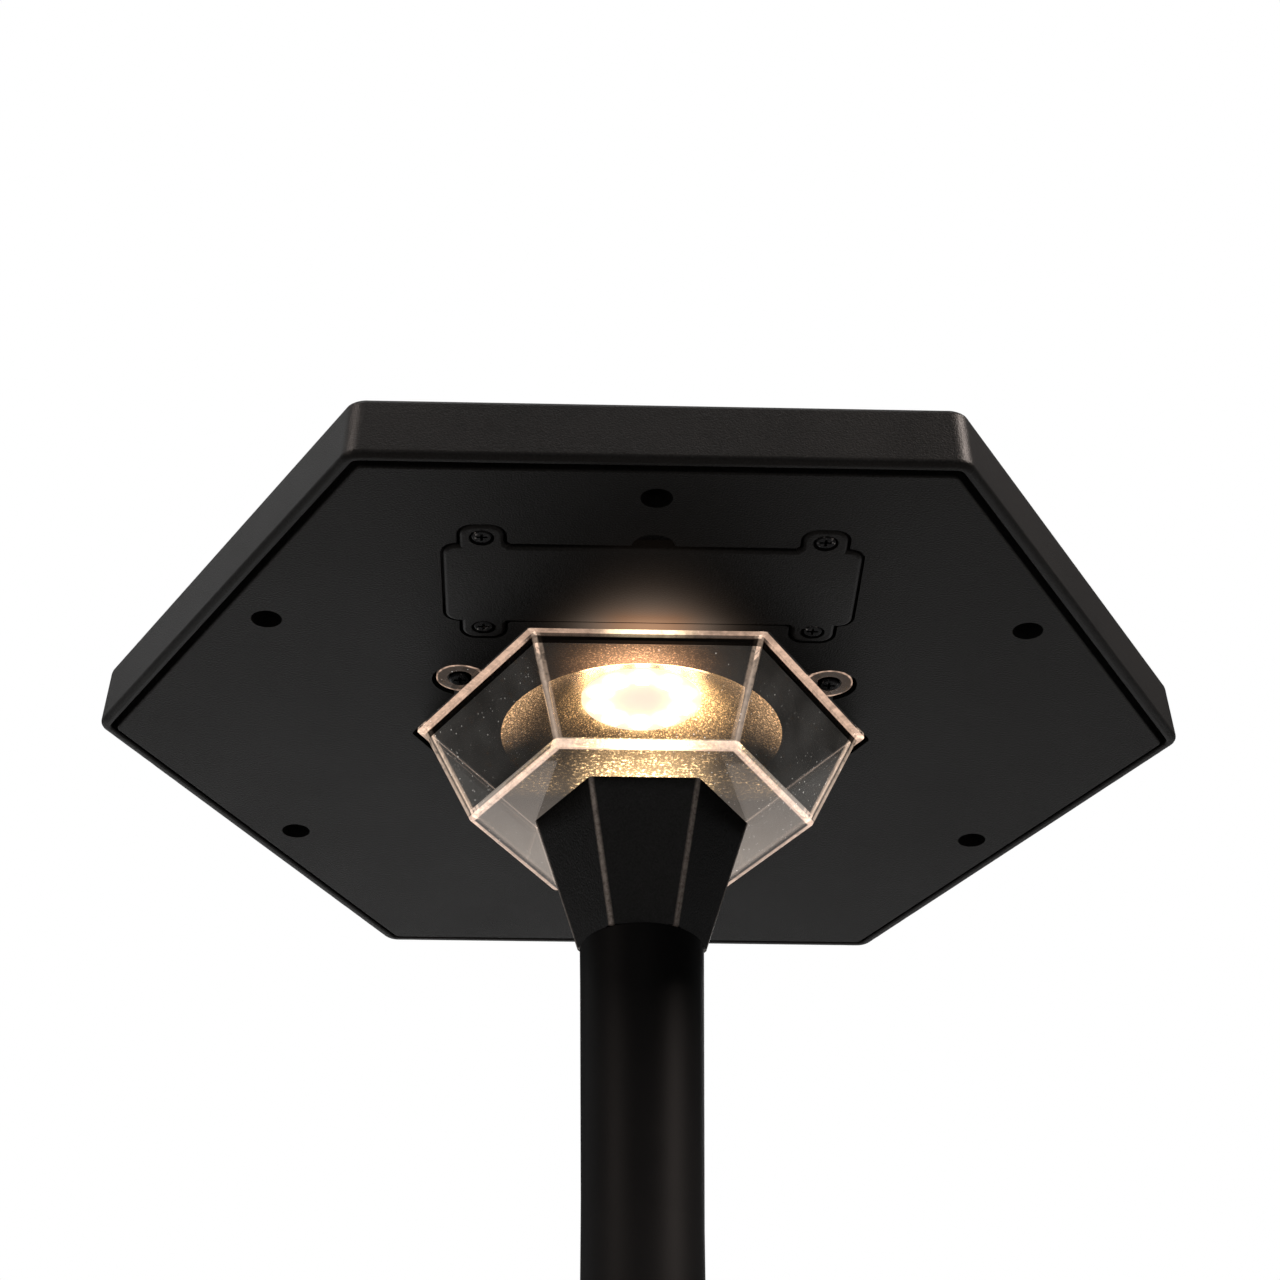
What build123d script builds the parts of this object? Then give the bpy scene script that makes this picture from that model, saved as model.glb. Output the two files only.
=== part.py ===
from build123d import *
from math import atan2, cos, pi, radians, sin, sqrt, tan
import os

# A solar path light: hexagonal solar head, clear hexagonal lens, faceted neck, round pole and spike.
# Millimetres. The origin is where the spike's axis meets the soil, +Z is up. The head has flats
# towards +Y and -Y and corners towards +X and -X, and the battery lid lies on the -Y side.

# Heights
collar_height = 8.0
pole_length = 380.0
neck_height = 29.5
lens_depth = 21.4
rim_height = 13.3

# Top housing
head_flats = 200.0
rim_draft = 4.8
head_corner = 4.0
housing_wall = 2.0
rim_lip = 2.25
lip_round = 0.5
crown_inset = 24.0
ledge_height = 2.0
rim_foot_round = 1.2
rim_top_round = 1.2
crown_round = 1.5

# Solar panel, seated in the top
panel_frame = 5.0
panel_gap = 0.4
panel_sunk = 0.3
panel_board_thickness = 1.2
cell_layer = 0.3
glass_thickness = 1.6
strip_count = 9
strip_gap = 0.8
strip_margin = 2.5

# Bottom cover
cover_gap = 1.2
cover_proud = 0.45
cover_thickness = 2.2
cover_seal_width = 2.2
cover_seal_thickness = 1.0
cover_round = 0.4

# Screw wells and the bosses that meet them
cover_screw_inset = 11.8
well_radius = 3.1
well_depth = 7.0
well_wall = 1.6
well_floor = 1.8
boss_radius = 3.6

# Screws: head radius, head height, shank radius and shank length
cover_screw = {"head": 2.7, "height": 1.9, "shank": 1.4, "length": 7.5}
lid_screw = {"head": 2.1, "height": 1.3, "shank": 1.1, "length": 6.0}
lens_screw = {"head": 2.3, "height": 1.4, "shank": 1.2, "length": 6.0}
neck_screw = {"head": 2.5, "height": 1.6, "shank": 1.3, "length": 8.0}
board_screw = {"head": 1.8, "height": 1.2, "shank": 0.9, "length": 4.0}
thread_clearance = 0.05
shank_clearance = 0.3
head_clearance = 0.35
pilot_spare = 0.8
boss_wall = 2.0
boss_roof = 1.2
lens_screw_sunk = 0.8

# Battery: one cell, its contacts, and the bay and lid around it
cell_diameter = 18.4
cell_length = 65.0
cell_clearance = 0.9
cell_lift = 0.2
button_radius = 2.8
button_height = 1.0
contact_space = 4.85
contact_thickness = 0.4
contact_width = 10.0
contact_height = 14.0
contact_pad = 4.0
contact_lift = 0.8
battery_offset = 58.4
bay_wall = 1.5
bay_headroom = 0.5
lid_overlap = 3.25
lid_thickness = 2.2
lid_corner = 2.8
lid_gap = 0.5
lid_shift = 0.2
lid_relief = 0.4
lid_crown = 0.5
lid_edge_round = 0.8
lid_ledge = 2.0
ear_width = 8.7
ear_reach = 6.35
ear_corner = 3.0
ear_inset = 7.55
ear_root = 1.1
lid_screw_reach = 2.5
pry_radius = 4.3
pry_depth = 2.6
seal_inset = 0.9
seal_width = 1.5
seal_height = 1.2

# LED bowl and LEDs
bowl_mouth_radius = 29.4
bowl_depth = 9.0
bowl_wall = 2.0
bowl_lip_round = 0.6
led_board_radius = 12.85
led_board_thickness = 1.6
led_board_clearance = 0.25
led_ring_radius = 9.3
led_count = 10
led_length = 3.5
led_width = 2.8
led_thickness = 0.8
led_screw_offset = 4.2
led_screw_bite = 1.1

# Lens: flats are given as distances from the axis
lens_foot = 31.2
lens_shoulder = 40.3
lens_flange = 41.4
lens_wall = 1.6
lens_floor = 2.5
lens_corner = 1.2
flange_thickness = 1.6
lens_edge_round = 0.5
lens_clearance = 0.9
lens_screw_circle = 44.1
lens_ear_radius = 4.9
lens_ear_count = 3
lens_ear_angle = -150.0
lens_seal_thickness = 1.0
lens_seal_width = 2.3
island_gap = 1.4
groove_wall = 1.6

# Neck, pole, bush and spike
neck_top = 19.4
neck_foot = 11.6
neck_wall = 2.5
neck_corner = 1.3
neck_screw_circle = 11.0
neck_screw_angle = 90.0
neck_foot_plate = 2.5
pole_diameter = 24.0
pole_top_diameter = 25.4
pole_flare = 60.0
pole_wall = 1.0
pole_end_round = 0.3
bush_length = 34.0
bush_wall = 1.2
bush_clearance = 0.05
spigot_clearance = 0.1
spigot_wall = 2.0
spigot_short = 2.0
spigot_chamfer = 1.0
stake_spigot_length = 35.0
stake_depth = 150.0
blade_width = 22.0
blade_thickness = 3.0
blade_shoulder = 60.0
blade_tip = 2.0
collar_inset = 0.1

# Control board and wires
board_length = 60.0
board_width = 26.0
board_thickness = 1.6
board_edge_gap = 33.0
standoff_height = 3.0
board_screw_inset = 3.5
plug_length = 6.0
plug_width = 5.0
plug_height = 4.5
plug_spread = 14.0
choke_radius = 4.0
choke_height = 5.0
capacitor_radius = 3.15
capacitor_height = 7.0
chip_size = 5.0
chip_height = 1.5
part_spread = 17.0
wire_radius = 0.65
wire_pitch = 2.4
wire_bend = 2.5
wire_hole = 2.6
led_wire_offset = 7.0
led_wire_height = 14.5
led_wire_slack = 4.5
panel_wire_offset = 36.0
battery_wire_lane = 45.0
battery_wire_cross = -37.5
battery_wire_slack = 7.0

# Worked out from the sizes above
hex_sides = 6
screw_angle = 30.0
pole_foot = collar_height
pole_top = pole_foot + pole_length
lens_bottom = pole_top + neck_height
rim_bottom = lens_bottom + lens_depth
rim_top = rim_bottom + rim_height
head_apothem = head_flats / 2
cover_screw_circle = head_apothem - cover_screw_inset
board_offset = head_apothem - board_edge_gap
top_apothem = head_apothem - rim_height * tan(radians(rim_draft))
plateau_apothem = top_apothem - crown_inset

cover_face = rim_bottom - cover_proud
cover_inside = cover_face + cover_thickness
mouth_apothem = head_apothem - rim_lip
cover_apothem = mouth_apothem - cover_gap
cover_corner = head_corner - rim_lip
ledge_bottom = cover_inside + cover_seal_thickness
ledge_top = ledge_bottom + ledge_height
ledge_apothem = cover_apothem - cover_seal_width

well_seat = cover_face + well_depth
well_top = well_seat + well_floor

bay_length = cell_length + 2 * contact_space
bay_width = cell_diameter + 2 * cell_clearance
lid_length = bay_length + 2 * lid_overlap
lid_width = bay_width + 2 * lid_overlap
lid_inside = cover_face + lid_thickness
lid_edge = lid_width / 2
seal_outer = seal_inset + seal_width
cell_bottom = lid_inside + cell_lift
cell_axis = cell_bottom + cell_diameter / 2
bay_ceiling = cell_bottom + cell_diameter + cell_lift
bay_top = bay_ceiling + bay_wall
ear_x = lid_length / 2 - ear_inset
ear_inner = ear_x - ear_width / 2
lid_middle = lid_shift - battery_offset
lid_screw_y = lid_edge + lid_screw_reach
lid_seat = cover_face + lid_screw["height"]
lid_pilot_top = lid_seat + lid_screw["length"] + pilot_spare
lid_places = [(x, y - battery_offset) for x in (-ear_x, ear_x) for y in (-lid_screw_y, lid_screw_y)]

ceiling = bay_top + bay_headroom
panel_floor = ceiling + housing_wall
cells_bottom = panel_floor + panel_board_thickness
glass_bottom = cells_bottom + cell_layer
glass_top = glass_bottom + glass_thickness
crown_top = glass_top + panel_sunk
recess_apothem = plateau_apothem - panel_frame
panel_apothem = recess_apothem - panel_gap

led_face = cover_face + bowl_depth
led_seat = led_face + led_board_thickness
led_seat_radius = led_board_radius + led_board_clearance

flange_top = rim_bottom + flange_thickness
groove_floor = flange_top + lens_seal_thickness
groove_apothem = lens_flange + lens_clearance
lens_slope = (lens_shoulder - lens_foot) / lens_depth
lens_wall_across = lens_wall * sqrt(1 + lens_slope**2)
lens_top = lens_shoulder + lens_slope * flange_thickness
lens_mouth = lens_top - lens_wall_across
island_apothem = lens_mouth - island_gap
floor_top = lens_bottom + lens_floor
lens_seat = rim_bottom + lens_screw_sunk
lens_pilot_top = lens_seat + lens_screw["length"] + pilot_spare

pole_radius = pole_diameter / 2
flare_foot = pole_top - pole_flare
pole_bore = pole_radius - pole_wall
bush_radius = pole_bore - bush_clearance
bush_bore = bush_radius - bush_wall
spigot_radius = bush_bore - spigot_clearance
spigot_bore = spigot_radius - spigot_wall
neck_slope = (neck_top - neck_foot) / neck_height
stake_spigot_radius = pole_bore - spigot_clearance

board_bottom = cover_inside + standoff_height
board_top = board_bottom + board_thickness
plug_middle = board_top + plug_height / 2
plug_face = board_offset - board_width / 2
led_wire_drop = plug_face - led_wire_slack
battery_wire_turn = plug_face - battery_wire_slack


# A hexagon with rounded corners, two flats square to Y, sized by the distance from axis to flat
class RoundedHexagon(BaseSketchObject):
    def __init__(self, apothem, corner=0, mode=Mode.ADD):
        with BuildSketch() as outline:
            RegularPolygon(radius=apothem, side_count=hex_sides, major_radius=False)
            if corner > 0:
                fillet(outline.vertices(), radius=corner)
        super().__init__(outline.sketch, 0, None, mode)


# The battery lid's outline: a long rectangle crossed by two straps whose ends are the ears
class LidOutline(BaseSketchObject):
    def __init__(self, grow=0, mode=Mode.ADD):
        with BuildSketch() as outline:
            RectangleRounded(lid_length + 2 * grow, lid_width + 2 * grow, lid_corner + grow)
            with Locations((-ear_x, 0), (ear_x, 0)):
                RectangleRounded(ear_width + 2 * grow, lid_width + 2 * (ear_reach + grow), ear_corner + grow)
            roots = outline.vertices().filter_by(lambda corner: abs(abs(corner.X) - ear_inner + grow) < 0.01)
            fillet(roots.filter_by(lambda corner: abs(corner.Y) < lid_edge + grow + 0.01), radius=ear_root)
        super().__init__(outline.sketch, 0, None, mode)


# The lens's screw ears: round ends on tabs that run straight back to the flange
class LensEars(BaseSketchObject):
    def __init__(self, radius, mode=Mode.ADD):
        with BuildSketch() as outline:
            with PolarLocations(lens_screw_circle, lens_ear_count, start_angle=lens_ear_angle):
                Circle(radius)
                Rectangle(lens_ear_radius, 2 * radius, align=(Align.MAX, Align.CENTER))
        super().__init__(outline.sketch, 0, None, mode)


# Points spaced evenly round the axis, the first one at the given angle
def ring(radius, count, first):
    angles = [radians(first + 360 * step / count) for step in range(count)]
    return [(radius * cos(angle), radius * sin(angle)) for angle in angles]


cover_screw_places = ring(cover_screw_circle, hex_sides, screw_angle)
lens_screw_places = ring(lens_screw_circle, lens_ear_count, lens_ear_angle)
neck_screw_places = ring(neck_screw_circle, lens_ear_count, neck_screw_angle)
led_screw_places = [(-led_screw_offset, 0), (led_screw_offset, 0)]
standoff_x = board_length / 2 - board_screw_inset
standoff_y = board_width / 2 - board_screw_inset
standoff_rows = (board_offset - standoff_y, board_offset + standoff_y)
standoff_places = [(x, y) for x in (-standoff_x, standoff_x) for y in standoff_rows]


# Pan-head screws with cross recesses at each place, the underside of every head at the height seat;
# up is 1 for a shank that points up and -1 for one that points down
def screws(places, seat, size, up=1):
    with BuildPart() as group:
        with BuildSketch(Plane.XY.offset(seat)):
            with Locations(*places):
                Circle(size["head"])
        extrude(amount=-up * size["height"])
        rim = group.faces().sort_by(Axis.Z)[:: up][: len(places)].edges()
        fillet(rim, radius=size["height"] / 3)
        with BuildSketch(Plane.XY.offset(seat - up * size["height"])):
            with Locations(*places):
                Rectangle(size["head"] * 1.1, size["head"] / 4)
                Rectangle(size["head"] / 4, size["head"] * 1.1)
        extrude(amount=up * size["height"] / 2, mode=Mode.SUBTRACT)
        with BuildSketch(Plane.XY.offset(seat)):
            with Locations(*places):
                Circle(size["shank"])
        extrude(amount=up * size["length"])
    return group.part


# One insulated wire: straight runs joined by bends, through the points given
def wire(*points):
    with BuildPart() as run:
        with BuildLine():
            route = FilletPolyline(*points, radius=wire_bend)
        with BuildSketch(Plane(origin=route @ 0, z_dir=route % 0)):
            Circle(wire_radius)
        sweep()
    return run.part


# Top housing: the outer form first
crown_slope = atan2(crown_top - rim_top, crown_inset)
slant_wall = housing_wall / cos(crown_slope)
knee = rim_top + housing_wall * tan(crown_slope) - slant_wall
ceiling_apothem = top_apothem - (ceiling + slant_wall - rim_top) / tan(crown_slope)
inner_corner = head_corner - housing_wall

with BuildPart() as outer_form:
    with BuildSketch(Plane.XY.offset(rim_bottom)):
        RoundedHexagon(head_apothem, head_corner)
    with BuildSketch(Plane.XY.offset(rim_top)):
        RoundedHexagon(top_apothem, head_corner)
    loft()
    with BuildSketch(Plane.XY.offset(rim_top)):
        RoundedHexagon(top_apothem, head_corner)
    with BuildSketch(Plane.XY.offset(crown_top)):
        RoundedHexagon(plateau_apothem, head_corner)
    loft()
    fillet(outer_form.edges().group_by(Axis.Z)[0], radius=rim_foot_round)
    knee_edges = outer_form.edges().filter_by_position(Axis.Z, rim_top - 0.01, rim_top + 0.01)
    fillet(knee_edges, radius=rim_top_round)
    fillet(outer_form.edges().group_by(Axis.Z)[-1], radius=crown_round)

# The air inside the housing, with the boss columns left standing in it
with BuildPart() as housing_air:
    with BuildSketch(Plane.XY.offset(rim_bottom - rim_foot_round)):
        RoundedHexagon(mouth_apothem, cover_corner)
    extrude(amount=ledge_bottom - rim_bottom + rim_foot_round)
    with BuildSketch(Plane.XY.offset(ledge_bottom)):
        RoundedHexagon(ledge_apothem, inner_corner)
    extrude(amount=ledge_height)
    with BuildSketch(Plane.XY.offset(ledge_top)):
        RoundedHexagon(top_apothem - housing_wall, inner_corner)
    extrude(amount=knee - ledge_top)
    with BuildSketch(Plane.XY.offset(knee)):
        RoundedHexagon(top_apothem - housing_wall, inner_corner)
    with BuildSketch(Plane.XY.offset(ceiling)):
        RoundedHexagon(ceiling_apothem, inner_corner)
    loft()
    with BuildSketch(Plane.XY.offset(well_top)):
        with Locations(*cover_screw_places):
            Circle(boss_radius)
    extrude(amount=crown_top - well_top, mode=Mode.SUBTRACT)

with BuildPart() as top_housing:
    add(outer_form.part)
    add(housing_air.part, mode=Mode.SUBTRACT)
    with BuildSketch(Plane.XY.offset(panel_floor)):
        RoundedHexagon(recess_apothem, head_corner)
    extrude(amount=crown_top - panel_floor, mode=Mode.SUBTRACT)
    with BuildSketch(Plane.XY.offset(well_top)):
        with Locations(*cover_screw_places):
            Circle(cover_screw["shank"] + thread_clearance)
    extrude(amount=cover_screw["length"] - well_floor + pilot_spare, mode=Mode.SUBTRACT)
    with BuildSketch(Plane.XY.offset(ceiling)):
        with Locations((plug_spread, panel_wire_offset)):
            SlotCenterToCenter(wire_pitch, wire_hole)
    extrude(amount=housing_wall, mode=Mode.SUBTRACT)
    rim_foot = top_housing.faces().sort_by(Axis.Z)[0]
    fillet(rim_foot.inner_wires()[0].edges(), radius=lip_round)

# Solar panel: backing board, cell strips and glass, stacked in the recess
with BuildPart() as panel_board:
    with BuildSketch(Plane.XY.offset(panel_floor)):
        RoundedHexagon(panel_apothem, head_corner)
    extrude(amount=panel_board_thickness)

strip_pitch = 2 * panel_apothem / cos(pi / hex_sides) / strip_count

with BuildPart() as solar_cells:
    with BuildSketch(Plane.XY.offset(cells_bottom)):
        with GridLocations(strip_pitch, 0, strip_count, 1):
            Rectangle(strip_pitch - strip_gap, 2 * panel_apothem)
        RoundedHexagon(panel_apothem - strip_margin, head_corner, mode=Mode.INTERSECT)
    extrude(amount=cell_layer)

with BuildPart() as panel_glass:
    with BuildSketch(Plane.XY.offset(glass_bottom)):
        RoundedHexagon(panel_apothem, head_corner)
    extrude(amount=glass_thickness)
    chamfer(panel_glass.edges().group_by(Axis.Z)[-1], length=panel_sunk)

# Bottom cover: everything that stands on it is added first, then every hollow is cut
with BuildPart() as bottom_cover:
    with BuildSketch(Plane.XY.offset(cover_face)):
        RoundedHexagon(cover_apothem, cover_corner)
    extrude(amount=cover_thickness)
    fillet(bottom_cover.edges().group_by(Axis.Z)[0], radius=cover_round)

    # walls of the lens groove
    with BuildSketch(Plane.XY.offset(cover_inside)):
        RoundedHexagon(groove_apothem + groove_wall, lens_corner)
        LensEars(lens_ear_radius + lens_clearance + groove_wall)
        RoundedHexagon(island_apothem - groove_wall, lens_corner, mode=Mode.SUBTRACT)
    extrude(amount=groove_floor + groove_wall - cover_inside)

    # lens screw bosses, battery lid bosses and screw wells
    with BuildSketch(Plane.XY.offset(cover_inside)):
        with Locations(*lens_screw_places):
            Circle(lens_screw["shank"] + boss_wall)
    extrude(amount=lens_pilot_top + boss_roof - cover_inside)
    with BuildSketch(Plane.XY.offset(cover_inside)):
        with Locations(*lid_places):
            Circle(lid_screw["shank"] + boss_wall)
    extrude(amount=lid_pilot_top + boss_roof - cover_inside)
    with BuildSketch(Plane.XY.offset(cover_inside)):
        with Locations(*cover_screw_places):
            Circle(well_radius + well_wall)
    extrude(amount=well_top - cover_inside)

    # battery ledge and bay
    with BuildSketch(Plane.XY.offset(cover_inside)):
        with Locations((0, -battery_offset)):
            LidOutline(lid_gap + bay_wall)
    extrude(amount=lid_inside + lid_ledge - cover_inside)
    with BuildSketch(Plane.XY.offset(cover_inside)):
        with Locations((0, -battery_offset)):
            Rectangle(bay_length + 2 * bay_wall, bay_width + 2 * bay_wall)
    extrude(amount=bay_top - cover_inside)

    # LED bowl's shell
    with BuildSketch(Plane.XZ):
        with BuildLine():
            Polyline(
                (0, cover_inside),
                (bowl_mouth_radius + bowl_wall, cover_inside),
                (led_seat_radius + bowl_wall, led_face),
                (led_seat_radius + bowl_wall, led_seat + bowl_wall),
                (0, led_seat + bowl_wall),
                close=True,
            )
        make_face()
    revolve(axis=Axis.Z)

    # control board standoffs
    with BuildSketch(Plane.XY.offset(cover_inside)):
        with Locations(*standoff_places):
            Circle(board_screw["shank"] + boss_wall)
    extrude(amount=standoff_height)

    # bowl, cut as a cone up to the seat of the LED board, with its wire hole
    with BuildSketch(Plane.XZ):
        with BuildLine():
            Polyline(
                (0, cover_face),
                (bowl_mouth_radius, cover_face),
                (led_seat_radius, led_face),
                (led_seat_radius, led_seat),
                (0, led_seat),
                close=True,
            )
        make_face()
    revolve(axis=Axis.Z, mode=Mode.SUBTRACT)
    with BuildSketch(Plane.XY.offset(led_seat)):
        with Locations((0, led_wire_offset)):
            SlotCenterToCenter(wire_pitch, wire_hole)
    extrude(amount=bowl_wall, mode=Mode.SUBTRACT)
    with BuildSketch(Plane.XY.offset(led_seat)):
        with Locations(*led_screw_places):
            Circle(board_screw["shank"] + shank_clearance)
    extrude(amount=bowl_wall, mode=Mode.SUBTRACT)

    # lens groove, ear recesses and lens screw pilots
    with BuildSketch(Plane.XY.offset(cover_face)):
        RoundedHexagon(groove_apothem, lens_corner)
        LensEars(lens_ear_radius + lens_clearance)
        RoundedHexagon(island_apothem, lens_corner, mode=Mode.SUBTRACT)
    extrude(amount=groove_floor - cover_face, mode=Mode.SUBTRACT)
    with BuildSketch(Plane.XY.offset(groove_floor)):
        with Locations(*lens_screw_places):
            Circle(lens_screw["shank"] + thread_clearance)
    extrude(amount=lens_pilot_top - groove_floor, mode=Mode.SUBTRACT)

    # screw wells
    with BuildSketch(Plane.XY.offset(cover_face)):
        with Locations(*cover_screw_places):
            Circle(well_radius)
    extrude(amount=well_depth, mode=Mode.SUBTRACT)
    with BuildSketch(Plane.XY.offset(well_seat)):
        with Locations(*cover_screw_places):
            Circle(cover_screw["shank"] + shank_clearance)
    extrude(amount=well_floor, mode=Mode.SUBTRACT)

    # battery lid recess with its pry notch, then the bay, seal groove and pilots
    with BuildSketch(Plane.XY.offset(cover_face)):
        with Locations((0, -battery_offset)):
            LidOutline(lid_gap)
    extrude(amount=lid_thickness, mode=Mode.SUBTRACT)
    with BuildSketch(Plane.XY.offset(cover_face)):
        with Locations((0, -battery_offset - lid_edge)):
            Circle(pry_radius)
    extrude(amount=lid_thickness, taper=25, mode=Mode.SUBTRACT)
    with BuildSketch(Plane.XY.offset(lid_inside)):
        with Locations((0, -battery_offset)):
            Rectangle(bay_length, bay_width)
    extrude(amount=bay_ceiling - lid_inside, mode=Mode.SUBTRACT)
    with BuildSketch(Plane.XY.offset(lid_inside)):
        with Locations((0, -battery_offset)):
            Rectangle(bay_length + 2 * seal_outer, bay_width + 2 * seal_outer)
            Rectangle(bay_length + 2 * seal_inset, bay_width + 2 * seal_inset, mode=Mode.SUBTRACT)
    extrude(amount=seal_height, mode=Mode.SUBTRACT)
    with BuildSketch(Plane.XY.offset(lid_inside)):
        with Locations(*lid_places):
            Circle(lid_screw["shank"] + thread_clearance)
    extrude(amount=lid_pilot_top - lid_inside, mode=Mode.SUBTRACT)
    with BuildSketch(Plane.YZ):
        with Locations((-battery_offset, plug_middle)):
            Circle(wire_hole / 2)
    extrude(amount=bay_length / 2 + bay_wall, both=True, mode=Mode.SUBTRACT)

    # control board pilots
    with BuildSketch(Plane.XY.offset(board_bottom)):
        with Locations(*standoff_places):
            Circle(board_screw["shank"] + thread_clearance)
    extrude(amount=-standoff_height, mode=Mode.SUBTRACT)

# Seal between the cover and the housing's ledge
with BuildPart() as cover_seal:
    with BuildSketch(Plane.XY.offset(cover_inside)):
        RoundedHexagon(cover_apothem, cover_corner)
        RoundedHexagon(ledge_apothem, inner_corner, mode=Mode.SUBTRACT)
    extrude(amount=cover_seal_thickness)

with BuildPart() as cover_screws:
    add(screws(cover_screw_places, well_seat, cover_screw))

# Battery lid: the outline cut from a slab that bellies out slightly between its long edges. It sits
# against the far side of its recess, and its near edge is cut back between the ears for a fingernail
with BuildPart() as battery_cover:
    with BuildSketch(Plane.XY.offset(lid_inside)):
        with Locations((0, lid_middle)):
            LidOutline()
        with Locations((0, lid_middle - lid_edge)):
            Rectangle(2 * (ear_inner - ear_root), 2 * lid_relief, mode=Mode.SUBTRACT)
    extrude(amount=-lid_thickness - lid_crown)
    with BuildSketch(Plane.YZ):
        with BuildLine():
            near = (lid_middle - lid_edge - ear_reach, cover_face)
            far = (lid_middle + lid_edge + ear_reach, cover_face)
            belly = (lid_middle, cover_face - lid_crown)
            ThreePointArc(near, belly, far)
            Polyline(far, (far[0], lid_inside), (near[0], lid_inside), near)
        make_face()
    extrude(amount=lid_length, both=True, mode=Mode.INTERSECT)
    outer_face = battery_cover.faces().sort_by(Axis.Z)[0]
    fillet(outer_face.edges(), radius=lid_edge_round)
    with BuildSketch(Plane.XY.offset(lid_seat)):
        with Locations(*lid_places):
            Circle(lid_screw["head"] + head_clearance)
    extrude(amount=-lid_thickness, mode=Mode.SUBTRACT)
    with BuildSketch(Plane.XY.offset(lid_seat)):
        with Locations(*lid_places):
            Circle(lid_screw["shank"] + shank_clearance)
    extrude(amount=lid_thickness, mode=Mode.SUBTRACT)

with BuildPart() as battery_cover_screws:
    add(screws(lid_places, lid_seat, lid_screw))

with BuildPart() as battery_seal:
    with BuildSketch(Plane.XY.offset(lid_inside)):
        with Locations((0, -battery_offset)):
            Rectangle(bay_length + 2 * seal_outer, bay_width + 2 * seal_outer)
            Rectangle(bay_length + 2 * seal_inset, bay_width + 2 * seal_inset, mode=Mode.SUBTRACT)
    extrude(amount=seal_height)

# Battery cell with its raised button, and a sprung contact at each end
with BuildPart() as battery_cell:
    with BuildSketch(Plane.YZ.offset(-cell_length / 2)):
        with Locations((-battery_offset, cell_axis)):
            Circle(cell_diameter / 2)
    extrude(amount=cell_length)
    fillet(battery_cell.edges().filter_by(GeomType.CIRCLE), radius=cell_lift)
    with BuildSketch(Plane.YZ.offset(cell_length / 2)):
        with Locations((-battery_offset, cell_axis)):
            Circle(button_radius)
    extrude(amount=button_height)

contact_back = bay_length / 2 - contact_thickness / 2
button_end = cell_length / 2 + button_height

with BuildPart() as battery_contacts:
    for side, terminal in ((-1, cell_length / 2), (1, button_end)):
        with BuildSketch(Plane.XZ.offset(battery_offset)):
            with BuildLine():
                touch = terminal + contact_thickness / 2
                Polyline(
                    (side * contact_back, cell_axis + contact_height / 2),
                    (side * contact_back, cell_axis - contact_height / 2),
                    (side * touch, cell_axis - contact_pad / 2),
                    (side * touch, cell_axis + contact_pad / 2),
                    (side * (contact_back - contact_lift), cell_axis + contact_pad),
                )
            trace(line_width=contact_thickness)
        extrude(amount=contact_width / 2, both=True)

# Control board, its parts and its screws
with BuildPart() as control_board:
    with BuildSketch(Plane.XY.offset(board_bottom)):
        with Locations((0, board_offset)):
            Rectangle(board_length, board_width)
        with Locations(*standoff_places):
            Circle(board_screw["shank"] + shank_clearance, mode=Mode.SUBTRACT)
    extrude(amount=board_thickness)

part_row = board_offset + plug_length / 2

with BuildPart() as board_components:
    with BuildSketch(Plane.XY.offset(board_top)):
        with Locations((0, plug_face + plug_length / 2)):
            with GridLocations(plug_spread, 0, 3, 1):
                Rectangle(plug_width, plug_length)
    extrude(amount=plug_height)
    with BuildSketch(Plane.XY.offset(board_top)):
        with Locations((0, part_row)):
            Circle(choke_radius)
    extrude(amount=choke_height)
    with BuildSketch(Plane.XY.offset(board_top)):
        with Locations((-part_spread, part_row)):
            Circle(capacitor_radius)
    extrude(amount=capacitor_height)
    with BuildSketch(Plane.XY.offset(board_top)):
        with Locations((part_spread, part_row)):
            Rectangle(chip_size, chip_size)
    extrude(amount=chip_height)

with BuildPart() as board_screws:
    add(screws(standoff_places, board_top, board_screw, -1))

# LED board with a ring of LEDs on its underside, held by screws that come in from behind
with BuildPart() as led_board:
    with BuildSketch(Plane.XY.offset(led_face)):
        Circle(led_board_radius)
    extrude(amount=led_board_thickness)
    with BuildSketch(Plane.XY.offset(led_seat)):
        with Locations(*led_screw_places):
            Circle(board_screw["shank"] + thread_clearance)
    extrude(amount=-led_screw_bite - thread_clearance, mode=Mode.SUBTRACT)

with BuildPart() as leds:
    with BuildSketch(Plane.XY.offset(led_face)):
        with PolarLocations(led_ring_radius, led_count, start_angle=-90):
            Rectangle(led_length, led_width)
    extrude(amount=-led_thickness)

with BuildPart() as led_board_screws:
    led_screw = {**board_screw, "length": bowl_wall + led_screw_bite}
    add(screws(led_screw_places, led_seat + bowl_wall, led_screw, -1))

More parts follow.
